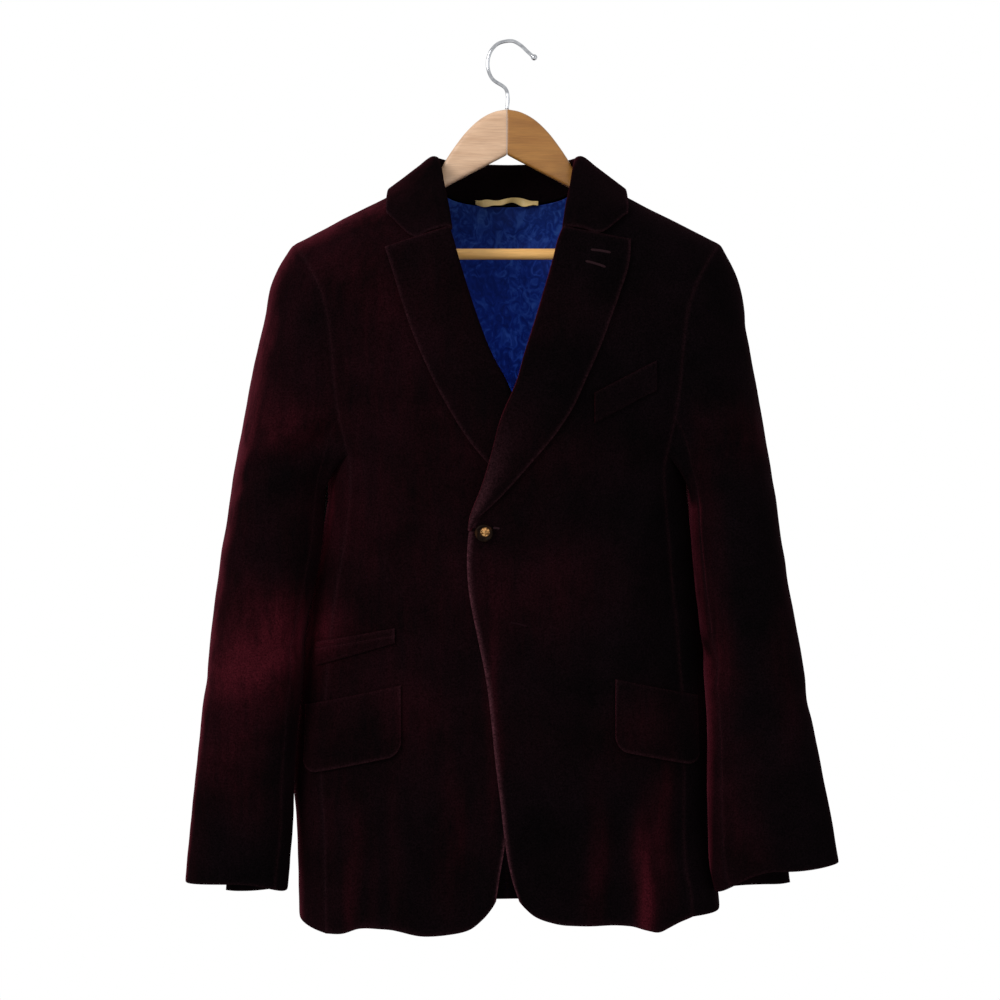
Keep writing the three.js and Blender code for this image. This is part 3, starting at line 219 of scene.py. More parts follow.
# Short drag lines that run across the hanging cloth: from one point to another, width, height.
DRAG_LINES = {
    "front": [
        ((-40, -665), (40, -702), 7, 1.5), ((-30, -560), (24, -604), 8, 1.2),
        ((-16, -520), (60, -540), 6, -1), ((-28, -484), (44, -452), 6, 1.1),
        ((-38, -500), (-120, -470), 9, -1.3), ((-36, -530), (-110, -560), 9, 1.1),
        ((10, -500), (110, -480), 9, -1.1), ((150, -400), (110, -440), 8, 1.8),
        ((-152, -404), (-108, -446), 8, 1.8), ((170, -470), (120, -500), 8, 1.3),
        ((-168, -480), (-118, -512), 8, 1.3), ((130, -600), (60, -630), 10, 1),
        ((-60, -610), (-130, -585), 10, 1.1), ((-90, -800), (-40, -838), 9, -1),
        ((90, -842), (40, -870), 9, 1),
    ],
    "back": [
        ((150, -430), (90, -470), 10, 1.8), ((-150, -436), (-92, -480), 10, 1.8),
        ((140, -500), (60, -520), 11, -1.4), ((-140, -520), (-50, -530), 11, -1.4),
        ((90, -190), (0, -205), 9, 1.4), ((-90, -192), (-6, -207), 9, 1.2),
        ((60, -560), (-60, -575), 12, 1.1), ((120, -700), (60, -740), 11, 1),
        ((-120, -720), (-60, -752), 11, 1),
    ],
}
# Sleeve folds: ring height and angle of the middle, slant, width, reach and height.
SLEEVE_FOLDS = {
    "left": [
        (-418, 105, 0.35, 12, 60, -4), (-640, 120, 0.25, 13, 55, -4.5), (-690, 60, -0.3, 14, 60, -3.5),
        (-600, 258, 0.2, 16, 42, 3.5), (-396, 96, 0.45, 9, 40, 2.2), (-446, 112, 0.3, 9, 42, 2),
        (-618, 92, 0.3, 9, 38, 2.4), (-664, 98, 0.12, 8, 44, 2.2), (-712, 84, -0.2, 9, 38, 1.8),
        (-560, 70, -0.25, 11, 34, -1.4), (-752, 110, 0.2, 11, 36, -1.6), (-656, 40, 0.1, 9, 30, -1.2),
        (-640, 262, -0.25, 10, 44, -2.2), (-680, 280, 0.3, 11, 40, 1.8), (-450, 250, -0.35, 10, 40, -2.2),
        (-480, 262, -0.3, 9, 38, 1.8), (-780, 70, 0.16, 12, 40, 1.2), (-530, 20, 0.1, 14, 30, 1.1),
        (-330, 60, -0.6, 10, 32, -1.4), (-360, 300, 0.5, 10, 34, -1.5), (-800, 250, -0.2, 12, 36, -1.5),
    ],
    "right": [
        (-418, 120, 0.45, 13, 55, -4), (-625, 110, 0.15, 13, 60, -4.5), (-672, 80, -0.25, 14, 65, -3.5),
        (-590, 262, 0.2, 16, 42, 3.5), (-398, 104, 0.5, 9, 42, 2.4), (-444, 108, 0.32, 9, 40, 2),
        (-604, 88, 0.22, 9, 36, 2.2), (-648, 96, -0.1, 8, 42, 2.6), (-696, 70, -0.3, 9, 40, 2.2),
        (-652, 52, 0.2, 7, 26, -1.6), (-716, 104, 0.1, 10, 38, -1.8), (-556, 58, -0.2, 12, 36, -1.4),
        (-632, 258, -0.2, 10, 44, -2.4), (-676, 276, 0.25, 11, 40, 2), (-448, 256, -0.3, 10, 40, -2),
        (-484, 266, -0.3, 9, 38, 1.8), (-770, 92, 0.14, 12, 44, -1.4), (-520, 30, 0.12, 14, 32, 1.2),
        (-330, 58, -0.6, 10, 32, -1.6), (-350, 300, 0.5, 10, 34, -1.5), (-790, 240, -0.2, 12, 36, -1.5),
    ],
}
LAPEL_EDGE = {
    "left": Table(
        "row roll x z",
        (0, -199.5, 123, -211), (1, -220, 121, -236), (2, -244, 113, -262), (3, -270, 103, -290),
        (4, -300, 92, -319), (5, -330, 78, -350), (6, -360, 64, -380), (7, -392, 45, -408),
        (8, -425, 23, -434), (9, -455, 1, -459), (10, -474, -16, -476), (11, -487, -29, -488),
        (12, -501, -38, -502),
    ),
    "right": Table(
        "row roll x z",
        (0, -199.5, 121.6, -219), (1, -220, 113, -246), (2, -244, 105.5, -271), (3, -270, 96, -299),
        (4, -300, 84, -328), (5, -330, 71, -356), (6, -360, 55, -385), (7, -392, 37, -413),
        (8, -425, 16, -438), (9, -455, -3, -461), (10, -474, -18, -476), (11, -487, -29, -488),
        (12, -501, -37.5, -502),
    ),
}
LAPEL_TURN_INSIDE = 7.0
COLLAR_ROWS = [
    {"seam": (0, 50, -161.5), "fold": (0, 53, -119.5), "edge": (0, 60, -166), "open": 3.4},
    {"seam": (26, 48.2, -160.5), "fold": (24, 50, -119.5), "edge": (34, 60, -166), "open": 3.4},
    {"seam": (50, 42, -157), "fold": (45, 41, -119), "edge": (70, 54, -166), "open": 3.6},
    {"seam": (69, 29, -149), "fold": (62, 26, -119), "edge": (100, 36, -163), "open": 4},
    {"seam": (79.5, 8, -138), "fold": (71.5, 7, -119.5), "edge": (118, 12, -153), "open": 4.6},
    {"seam": (78.5, -10, -139.5), "fold": (71, -11, -121.5), "edge": (121.5, -12, -153.5), "open": 4.6},
    {"seam": (74.5, -32, -151.5), "fold": (68, -29, -133), "edge": (122.5, -34, -166), "open": 4.4},
    {"seam": (70.5, -52, -167), "fold": (64, -49, -155), "edge": (122.5, -44, -173),
     "bend": (100, -62, -176), "open": 4},
    {"seam": (66.4, -62.5, -184), "fold": (59.5, -66, -177), "edge": (122, -48, -177.5),
     "bend": (97, -70, -190), "open": 3.8},
    {"seam": (63.4, -70, -199.6), "fold": (55.9, -76.4, -200.4), "edge": (121.6, -50, -181.4),
     "bend": (94.5, -76, -203.6), "open": 3.6},
]
NOTCH_DROP = {"left": 0.0, "right": 4.5}
COLLAR_CLEAR = 1.5
COLLAR_SPANS = 7
COLLAR_FALL = 4.3
HIP_FLAPS = {
    "left": {"inner": 108, "top": -650, "height": 71, "slope": 0.215, "outer_share": 0.922, "corner": 13},
    "right": {"inner": 106, "top": -656, "height": 70, "slope": 0.225, "outer_share": 0.941, "corner": 13},
}
TICKET = {"inner": 112, "slit": -606, "slope": 0.19, "outer_share": 0.923}
JETS = {"upper": 7, "lower": 8, "gape": 9}
WELT = {"inner": 86, "outer": 149, "top": -364, "rise": 0.52, "height": 30}
LOOP = {"reach": 33, "height": 9, "thickness": 1.0, "z": -156.5, "bow": 3.5}
BUTTON = {"x": -23, "z": -502, "radius": 9.0, "thickness": 4.2}
ARM = Table(
    "x top bottom half",
    (0.15, -68.5, -115.2, 7), (14, -71.5, -122.5, 7), (28, -79, -129.8, 7), (42, -92, -137.1, 7.2),
    (54, -107.5, -143.5, 7.4), (62, -119.5, -147.8, 7.6), (68, -129.5, -151, 7),
    (76, -139.5, -156, 6.8), (86, -145.6, -162.5, 7.4), (110, -156.2, -177.5, 9),
    (140, -171.4, -196, 9.5), (170, -186.5, -213.5, 9.5), (188, -195.6, -226, 9.2),
    (200, -202.2, -229, 8.2), (206, -208.5, -226, 6),
)
BAR = {"reach": 190, "z": -217.5, "radius": 5.7}
HOOK_WIRE = 1.9
HOOK_TIP = 3.3
# The hook's middle line from the wood up and round to its tip: x, z.
HOOK_PATH = [
    (0, -68.1), (0.9, -56), (-2, -46.5), (-14, -38), (-18.7, -29.5), (-19.8, -19), (-16.6, -8.5),
    (-9.5, -0.9), (0, 1.9), (7, 1.6), (14.4, -2.6), (22.7, -10.3), (30.5, -17),
]


# The body's surface.
def ridge_height(x):
    far = np.abs(x)
    soft = np.where(far < NECK_SOFTNESS, x * x / (2 * NECK_SOFTNESS) + NECK_SOFTNESS / 2, far)
    return NECK_Z - SHOULDER_SLOPE * (soft - NECK_X)


def depth_at(x, z, facing):
    half = np.where(x > 0, BODY.read("left", z), BODY.read("right", z))
    across = np.minimum(np.abs(x) / half, 0.999)
    return BODY.read(facing, z) * (1 - across ** BODY_SQUARENESS) ** (1 / BODY_SQUARENESS)


def shoulder_power(x):
    return lerp(SHOULDER_POWER[0], SHOULDER_POWER[1], smoothstep(NECK_X, TIP_X, np.abs(x)))


def body_surface(x, z, facing):
    rise = np.maximum(1 - (ridge_height(x) - z) / SHOULDER_ROUND, 0)
    depth = depth_at(x, z, facing) * np.maximum(1 - rise * rise, 0) ** shoulder_power(x)
    return np.stack([x, -depth if facing == "front" else depth, z], axis=-1)


def body_level(x, y, z, facing):
    rise = np.maximum(1 - (ridge_height(x) - z) / SHOULDER_ROUND, 0)
    return (np.abs(y) / depth_at(x, z, facing)) ** (1 / shoulder_power(x)) + rise * rise


STEP = 0.4


def body_normal(points, facing):
    x, y, z = points[..., 0], points[..., 1], points[..., 2]
    return unit(np.stack([
        body_level(x + STEP, y, z, facing) - body_level(x - STEP, y, z, facing),
        body_level(x, y + STEP, z, facing) - body_level(x, y - STEP, z, facing),
        body_level(x, y, z + STEP, facing) - body_level(x, y, z - STEP, facing),
    ], axis=-1))


# How far folds and drag lines waver from side to side.
SWAY_SHARE = 0.125
SWAY_LENGTH = 37.0
SWAY_FULL = 4.0
DRAG_WAVER = 2.5


def rise_and_fade(low, full, fading, gone, along):
    """From 0 at low to 1 at full, and from 1 at fading to 0 at gone."""
    return smoothstep(low, full, along) * (1 - smoothstep(fading, gone, along))


def fold_height(x, z, facing):
    height = np.zeros_like(x)
    for start, top, foot, bottom, width, rise in BODY_FOLDS[facing]:
        along = (top - z) / (top - bottom)
        sway = SWAY_SHARE * width * min(abs(rise) / SWAY_FULL, 1) * np.sin(z / SWAY_LENGTH + start)
        across = (x - lerp(start, foot, along) - sway) / width
        height += rise * rise_and_fade(-0.05, 0.45, 0.85, 1.3, along) * np.exp(-across * across)
    for (x0, z0), (x1, z1), width, rise in DRAG_LINES[facing]:
        length = math.hypot(x1 - x0, z1 - z0)
        along = ((x - x0) * (x1 - x0) + (z - z0) * (z1 - z0)) / length ** 2
        across = ((x - x0) * (z1 - z0) - (z - z0) * (x1 - x0)) / length
        across = across + DRAG_WAVER * np.sin(along * 4 + x0)
        height += rise * rise_and_fade(-0.15, 0.35, 0.6, 1.15, along) * np.exp(-(across / width) ** 2)
    return height


# The cloth's soft waves: height, then one wave's length across, length up and start, and another's through.
WAVES = (
    (0.42, 21, 47, 0.6, 26, 33, 1.7),
    (0.3, 13, -24, 2.1, 15, -39, 0),
    (0.14, 6.5, 11, 0, 8, -9, 0.4),
)


def unevenness(points):
    """Soft irregular waves all over the cloth, the same on both sides of every seam."""
    x, y, z = points[..., 0], points[..., 1], points[..., 2]
    height = np.zeros_like(x)
    for rise, x_long, x_up, x_start, y_long, y_up, y_start in WAVES:
        height += rise * np.sin(x / x_long + z / x_up + x_start) * np.sin(y / y_long + z / y_up + y_start)
    return height


def on_body(x, z, facing, offset):
    points = body_surface(x, z, facing)
    normal = body_normal(points, facing)
    height = offset + fold_height(x, z, facing) + unevenness(points)
    return points + normal * height[..., None]


def on_front(side, x, z, offset):
    lift = 0.0
    if side == "left":
        lift = LIFT.read("lift", z) * (1 - smoothstep(OVERLAP_FULL, OVERLAP_NONE, x))
    return on_body(handed(side) * x, z, "front", offset + lift)


def seam_distance(side, z, facing):
    return np.where(z > ARMHOLE_BOTTOM, ARMHOLE.read(facing, z), SIDE_SEAM_SHARE * BODY.read(side, z))


def front_point(side, down, across, offset):
    hem = FRONT_HEM[side]
    edge_hem = FRONT_EDGE.key[-1]
    side_hem = hem.column["z"][-1]
    edge_z = lerp(NECK_Z, edge_hem, down)
    outer_z = lerp(TIP_Z, side_hem, down)
    inner = FRONT_EDGE.read(side, edge_z) + TURN_INSET * smoothstep(-503, -478, edge_z)
    outer = seam_distance(side, outer_z, "front") - SEAM_GAP / 2
    hem_x = lerp(hem.key[0], hem.key[-1], across)
    hem_drop = hem.read("z", hem_x) - lerp(edge_hem, side_hem, across)
    z = lerp(edge_z, outer_z, across) + hem_drop * down ** 9
    points = on_front(side, lerp(inner, outer, across), z, offset)
    points[..., 1] -= np.where(down == 0, SEAM_GAP / 2, 0)
    return points


def back_point(side, down, across, offset):
    outer_z = lerp(TIP_Z, HEM_BACK, down)
    outer = seam_distance(side, outer_z, "back")
    inset = SEAM_GAP / 2
    top_x = across * TIP_X
    top = np.where(top_x < NECK_X, BACK_NECK.read("z", top_x), ridge_height(top_x))
    x = handed(side) * lerp(inset, outer - inset, across)
    points = on_body(x, lerp(top, HEM_BACK, down), "back", offset)
    points[..., 1] += np.where(down == 0, SEAM_GAP / 2, 0)
    return points


def round_side(side, turn, z):
    power = 2 / BODY_SQUARENESS
    depth = np.where(turn > 0, BODY.read("front", z), BODY.read("back", z))
    y = -np.sign(turn) * depth * np.abs(np.sin(turn)) ** power
    return np.stack([handed(side) * BODY.read(side, z) * np.cos(turn) ** power, y, z], axis=-1)


def side_normal(side, turn, z):
    step = 0.02
    away = np.where(np.abs(turn) < step, step, np.sign(turn) * step)
    along = round_side(side, turn + away, z) - round_side(side, turn - away, z)
    down = round_side(side, turn, z - 2) - round_side(side, turn, z + 2)
    normal = unit(np.cross(along, down))
    return normal * np.sign(normal[..., :1] * handed(side))


SEAM_TURN = math.acos(SIDE_SEAM_SHARE ** (BODY_SQUARENESS / 2))


def armhole_floor(share):
    return ARMHOLE_BOTTOM - ARMHOLE_DIP * np.cos(share * math.pi / 2)


def side_point(side, down, across, offset):
    share = across * 2 - 1
    end = np.where(share > 0, FRONT_HEM[side].column["z"][-1], HEM_BACK)
    hem = lerp(HEM_SIDE[side], end, np.abs(share))
    z = lerp(armhole_floor(share), hem, down)
    turn = share * SIDE_SHARE * SEAM_TURN
    points = round_side(side, turn, z)
    seam_x = handed(side) * SIDE_SEAM_SHARE * BODY.read(side, z)
    folds = np.where(share > 0, fold_height(seam_x, z, "front"), fold_height(seam_x, z, "back"))
    height = offset + unevenness(points) + folds * np.abs(share) ** 3
    return points + side_normal(side, turn, z) * height[..., None]


# Sleeves.
ARMHOLE_STEPS = 160
REST_SOFTNESS = 6.0
REST_REACH = 12.0
ANGLE_STEP = 1.5
DOWN_STEP = 0.01


def armhole_line(side):
    """The armhole from the tip round the front: angles, points, normals and leaving directions."""
    share = np.arange(ARMHOLE_STEPS) / ARMHOLE_STEPS
    points, normals, away = [], [], []
    for facing, ways in (("front", share), ("floor", 1 - 2 * share), ("back", 1 - share)):
        if facing == "floor":
            z = armhole_floor(ways)
            turn = ways * SEAM_TURN
            points.append(round_side(side, turn, z))
            normals.append(side_normal(side, turn, z))
            away.append(np.tile([0.0, 0.0, 1.0], (ARMHOLE_STEPS, 1)))
        else:
            z = lerp(TIP_Z, ARMHOLE_BOTTOM, ways ** 2)
            line = body_surface(handed(side) * ARMHOLE.read(facing, z), z, facing)
            points.append(line)
            normals.append(body_normal(line, facing))
            away.append(np.tile([handed(side), 0.0, 0.0], (ARMHOLE_STEPS, 1)))
    points, normals, away = (np.concatenate(part) for part in (points, normals, away))
    along = np.roll(points, -1, axis=0) - points
    leaving = unit(np.cross(along, normals))
    leaving *= np.sign((leaving * away).sum(-1, keepdims=True))
    middle = (TIP_Z + ARMHOLE_BOTTOM) / 2
    angle = np.degrees(np.arctan2(-points[:, 1], points[:, 2] - middle)) % 360
    order = np.argsort(angle)
    angle, points, leaving = angle[order], points[order], leaving[order]
    smooth = np.zeros_like(leaving)
    for shift in range(-14, 15):
        smooth += np.roll(leaving, shift, axis=0) * (1 - abs(shift) / 15)
    return angle, points, unit(smooth)


def around(angle, line, values):
    at = np.asarray(angle) % 360
    return np.stack([np.interp(at, line, values[:, k], period=360) for k in range(3)], axis=-1)


def sleeve_ring(side, angle, z):
    rows, cuff = SLEEVES[side], CUFF[side]
    inner, outer = rows.read("inner", z), rows.read("outer", z)
    front, back = rows.read("front", z), rows.read("back", z)
    c, s = np.cos(np.radians(angle)), np.sin(np.radians(angle))
    power = 2 / SLEEVE_SQUARENESS
    x = (inner + outer) / 2 + (outer - inner) / 2 * np.sign(c) * np.abs(c) ** power
    y = (back - front) / 2 - (back + front) / 2 * np.sign(s) * np.abs(s) ** power
    down = (rows.key[0] - z) / (rows.key[0] - rows.key[-1])
    middle = np.where(s > 0, cuff["front"], np.where(np.asarray(angle) < 0, cuff["vent"], cuff["back"]))
    end = np.where(c > 0, cuff["outer"], cuff["inner"])
    tilt = lerp(end, middle, np.abs(s) ** 3)
    return np.stack([handed(side) * x, y, z + tilt * np.maximum(down, 0) ** 4], axis=-1)


def rest_on_body(side, points, down):
    """Moves the sleeve out to where it rests on the body's side, more so further from the armhole."""
    x, y, z = points[..., 0], points[..., 1], points[..., 2]
    depth = np.where(y < 0, BODY.read("front", z), BODY.read("back", z))
    away = np.minimum(np.abs(y) / depth, 0.999)
    half = BODY.read(side, z) * (1 - away ** BODY_SQUARENESS) ** (1 / BODY_SQUARENESS)
    short = half + SLEEVE_REST - handed(side) * x
    soft = 0.5 * (short + np.sqrt(short ** 2 + REST_SOFTNESS))
    soft = np.where(short > -REST_REACH, soft, 0)
    pushed = points.copy()
    pushed[..., 0] += handed(side) * soft * smoothstep(0.1, 0.7, down)
    return pushed


def sleeve_face(side, line, angle, down):
    top_z, cuff_z = SLEEVES[side].key[0], SLEEVES[side].key[-1]
    ring = sleeve_ring(side, angle, lerp(top_z, cuff_z, np.maximum(down, 1) - 1))
    start = around(angle, line[0], line[1])
    away = around(angle, line[0], line[2])
    end = sleeve_ring(side, angle, np.full_like(angle, top_z))
    c, s = np.cos(np.radians(angle)), np.sin(np.radians(angle))
    level = s ** 2 * 0.6 + smoothstep(0.5, 1, -c) * 0.6
    leaving = unit(lerp(away, np.array([handed(side), 0.0, 0.0]), level[..., None]))
    begin = start + away * ARMHOLE_GAP
    strength = lerp(UNDERARM_TURN, SLEEVE_CAP[side], (1 + c) / 2)
    below = sleeve_ring(side, angle, np.full_like(angle, top_z - 4))
    reach = np.linalg.norm(begin - end, axis=-1, keepdims=True) * CAP_DROP
    cap = hermite(begin, leaving * strength[..., None], end, unit(below - end) * reach,
                  np.minimum(down, 1)[..., None])
    return rest_on_body(side, np.where((down >= 1)[..., None], ring, cap), down)


def sleeve_fold(side, angle, z):
    height = np.zeros_like(z)
    for middle, at, slant, width, reach, rise in SLEEVE_FOLDS[side]:
        turn = (angle - at + 540) % 360 - 180
        across = (z - middle - slant * turn + 2.2 * np.sin(turn / 11 + middle)) / width
        height += rise * np.exp(-across ** 2 - (turn / reach) ** 2)
    return height


def sleeve_point(side, line, angle, down, offset):
    face = sleeve_face(side, line, angle, down)
    before, after = (sleeve_face(side, line, angle + step, down) for step in (-ANGLE_STEP, ANGLE_STEP))
    above = sleeve_face(side, line, angle, np.maximum(down - DOWN_STEP, 0))
    below = sleeve_face(side, line, angle, np.minimum(down + DOWN_STEP, 2))
    normal = unit(np.cross(below - above, after - before)) * -handed(side)
    folds = sleeve_fold(side, angle, face[..., 2]) * smoothstep(0, 0.2, down)
    return face + normal * (offset + folds + unevenness(face))[..., None]


def vent_share(side, down):
    rows = SLEEVES[side]
    z = lerp(rows.key[0], rows.key[-1], np.maximum(down - 1, 0))
    return smoothstep(rows.key[-1] + VENT_LENGTH, rows.key[-1], z)


def top_sleeve_point(side, line, down, across, offset):
    down = down * 2
    back = lerp(BACK_SEAM, VENT_TOP, vent_share(side, down)) - 360 + SLEEVE_SEAM_GAP
    return sleeve_point(side, line, lerp(back, FRONT_SEAM - SLEEVE_SEAM_GAP, across), down, offset)


def under_sleeve_point(side, line, down, across, offset):
    down = down * 2
    back = lerp(BACK_SEAM, VENT_UNDER, vent_share(side, down)) - SLEEVE_SEAM_GAP
    return sleeve_point(side, line, lerp(FRONT_SEAM + SLEEVE_SEAM_GAP, back, across), down, offset)


# Lapels and collar.
LAPEL_BELLY = 2.6
LAPEL_FOOT = 0.86
ROLL_STEP = 6.0


def lapel_point(side, down, across, offset):
    """across runs 0 to 1 over the leaf, 1 to 2 round the front's edge and 2 to 3 inside it."""
    offset = offset + LAPEL / 2
    table = LAPEL_EDGE[side]
    row = down * table.key[-1]
    roll, edge_x, edge_z = (table.read(name, row) for name in ("roll", "x", "z"))
    foot = smoothstep(LAPEL_FOOT, 1, down)
    leaf = lerp(LAPEL_GAP + LAPEL / 2, -CLOTH / 2, foot)
    inside = lerp(-CLOTH - LAYER_GAP - LAPEL / 2, -CLOTH / 2, foot)
    radius, middle = (leaf - inside) / 2 + offset, (leaf + inside) / 2
    roll_x = FRONT_EDGE.read(side, roll)
    above, below = (FRONT_EDGE.read(side, roll + step) for step in (ROLL_STEP, -ROLL_STEP))
    slope = (above - below) / (2 * ROLL_STEP)
    size = np.sqrt(1 + slope ** 2)
    away_x, away_z = -1 / size, slope / size
    share = np.minimum(across, 1)
    belly = LAPEL_BELLY * np.sin(math.pi * share) ** 1.5 * rise_and_fade(0, 0.25, 0.75, 1, down)
    leaf_x, leaf_z = lerp(edge_x, roll_x, share), lerp(edge_z, roll, share)
    on_leaf = on_front(side, leaf_x, leaf_z, leaf + offset + belly)
    angle = np.clip(across - 1, 0, 1) * math.pi
    reach = np.sin(angle) * radius + SEAM_GAP * (1 - foot) * np.minimum(np.abs(across - 1) * 8, 1)
    turned = on_front(side, roll_x + away_x * reach, roll + away_z * reach, middle + np.cos(angle) * radius)
    back = lerp(0, LAPEL_TURN_INSIDE, np.clip(across - 2, 0, 1))
    hidden = on_front(side, roll_x - away_x * back, roll - away_z * back, inside - offset)
    over_edge = np.where((across <= 2)[..., None], turned, hidden)
    return np.where((across <= 1)[..., None], on_leaf, over_edge)


def lift_off(points, clear):
    for _ in range(4):
        facing = points[..., 1] < 0
        for name, chosen in (("front", facing), ("back", ~facing)):
            part = points[chosen]
            if len(part):
                normal = body_normal(part, name)
                ahead = part + normal * STEP
                level = body_level(part[:, 0], part[:, 1], part[:, 2], name)
                slope = (body_level(ahead[:, 0], ahead[:, 1], ahead[:, 2], name) - level) / STEP
                short = np.maximum(clear - (level - 1) / slope, 0)
                points[chosen] = part + normal * short[:, None]
    return points


def collar_corners(row, side):
    def place(name, drop=0.0):
        x, y, z = row[name]
        return np.array([handed(side) * x, y, z - drop], float)

    seam, fold, edge = place("seam"), place("fold"), place("edge")
    rise = unit(fold - (seam + edge) / 2)
    span = edge - seam
    lean = unit(span - rise * span.dot(rise))
    back = fold - rise * row["open"] * 0.9
    fold_in = back - lean * row["open"]
    fold_out = back + lean * row["open"]
    bend = place("bend", NOTCH_DROP[side]) if "bend" in row else lerp(fold_out, edge, 0.6)
    stand, fall = (seam + fold_in) / 2, (fold_out + bend) / 2
    return np.array([seam, stand, fold_in, fold, fold_out, fall, bend, edge])


def spline(corners, at):
    """A smooth curve through corners along the first axis, at positions counted in corners."""
    gaps = np.linalg.norm(np.diff(corners, axis=0), axis=-1)
    gaps = np.sqrt(gaps.reshape(len(gaps), -1).mean(axis=1)) + 1e-6
    key = np.concatenate([[0], np.cumsum(gaps)])
    last = len(corners) - 1
    before, after = np.maximum(np.arange(last + 1) - 1, 0), np.minimum(np.arange(last + 1) + 1, last)
    shape = (-1,) + (1,) * (corners.ndim - 1)
    slope = (corners[after] - corners[before]) / (key[after] - key[before]).reshape(shape)
    i = np.minimum(at.astype(int), last - 1)
    span = (key[i + 1] - key[i]).reshape(shape)
    t = (at - i).reshape(shape)
    return hermite(corners[i], slope[i] * span, corners[i + 1], slope[i + 1] * span, t)


def collar_lines(rows, columns):
    half = len(COLLAR_ROWS) - 1
    corners = np.array([
        collar_corners(COLLAR_ROWS[abs(i - half)], "right" if i < half else "left")
        for i in range(2 * half + 1)
    ])
    across = spline(corners.transpose(1, 0, 2), columns * COLLAR_SPANS).transpose(1, 0, 2)
    lines = spline(across, rows * 2 * half)
    fall = columns * COLLAR_SPANS > COLLAR_FALL
    lines[:, fall] = lift_off(lines[:, fall], COLLAR / 2 + COLLAR_CLEAR)
    return lines


# Pockets and small sewn pieces.
def flap_point(side, down, across, offset):
    flap = HIP_FLAPS[side]
    outer = flap["outer_share"] * BODY.read(side, flap["top"] - flap["height"] / 2)
    x = lerp(flap["inner"], outer, across)
    from_end = np.minimum(x - flap["inner"], outer - x)
    corner = flap["corner"]
    short = corner - np.sqrt(np.maximum(corner ** 2 - np.maximum(corner - from_end, 0) ** 2, 0))
    z = flap["top"] - flap["slope"] * (x - flap["inner"]) - (flap["height"] - short) * down
    flare = 1.6 * down ** 3 * (0.6 + 0.4 * np.sin(across * 9))
    belly = 1.1 * np.sin(math.pi * down) * np.sin(math.pi * across)
    return on_front(side, x, z, offset + POCKET_LIFT + belly + flare)


def jet_point(part, down, across, offset):
    outer = TICKET["outer_share"] * BODY.read("right", TICKET["slit"])
    x = lerp(TICKET["inner"], outer, across)
    if part == "upper":
        above, below = JETS["upper"], SEAM_GAP / 2
    else:
        above, below = -SEAM_GAP / 2, -JETS["lower"] - JETS["gape"] * across
    z = TICKET["slit"] - TICKET["slope"] * (x - TICKET["inner"]) + lerp(above, below, down)
    sag = 1.4 * across * (1 - down) if part == "lower" else 0
    return on_front("right", x, z, offset + POCKET_LIFT + 0.5 * np.sin(math.pi * down) + sag)


def welt_point(down, across, offset):
    x = lerp(WELT["inner"], WELT["outer"], across)
    z = WELT["top"] + WELT["rise"] * (x - WELT["inner"]) - WELT["height"] * down
    belly = 0.7 * np.sin(math.pi * down) * np.sin(math.pi * across) ** 0.5
    return on_front("left", x, z, offset + POCKET_LIFT + belly)


def loop_point(down, across, offset):
    way = across * 2 - 1
    x = LOOP["reach"] * way
    seats = np.array([(row["seam"][0], row["seam"][1]) for row in COLLAR_ROWS[:4]], float)
    seat = Table("x y", *seats).read("y", np.abs(x))
    bow = LOOP["bow"] * (1 - way ** 4)
    wave = 1.5 * np.sin(way * 4.2 + 0.9) + 0.6 * np.sin(way * 9)
    twist = 0.75 * np.sin(way * 5.2 + 0.5)
    height = LOOP["height"] * (0.78 - 0.16 * np.cos(way * 6)) * (down - 0.5)
    y = seat - COLLAR / 2 - LAYER_GAP - LOOP["thickness"] - bow - 1.5 + height * np.sin(twist)
    z = LOOP["z"] - 2.2 + wave - height * np.cos(twist)
    return np.stack([x, y - offset - LOOP["thickness"] / 2, z], axis=-1)


# Meshes.
EDGE_STEPS = (0, 0.08, 0.22, 0.45, 0.8, 1.3, 2.2, 3.6)


def spaced(count, length):
    """Shares from 0 to 1, close together at both ends so that the cloth's edges are round."""
    near = np.array(EDGE_STEPS) / length
    inner = np.linspace(near[-1], 1 - near[-1], count)[1:-1]
    return np.concatenate([near, inner, 1 - near[::-1]])


def arc(points, axis):
    steps = np.linalg.norm(np.diff(points, axis=axis), axis=-1)
    pad = [(1, 0) if k == axis else (0, 0) for k in range(2)]
    return np.pad(np.cumsum(steps, axis=axis), pad)


def edge_distance(face):
    down, across = arc(face, 0), arc(face, 1)
    return np.minimum.reduce([down, down[-1:] - down, across, across[:, -1:] - across])


def grid_faces(rows, columns, start, flip):
    i, j = np.meshgrid(np.arange(rows - 1), np.arange(columns - 1), indexing="ij")
    a = (i * columns + j).ravel() + start
    quads = np.stack([a, a + 1, a + columns + 1, a + columns], axis=1)
    return quads[:, ::-1] if flip else quads


def rim_loop(rows, columns):
    top = np.arange(columns - 1)
    right = np.arange(rows - 1) * columns + columns - 1
    bottom = (rows - 1) * columns + np.arange(columns - 1, 0, -1)
    left = np.arange(rows - 1, 0, -1) * columns
    return np.concatenate([top, right, bottom, left])


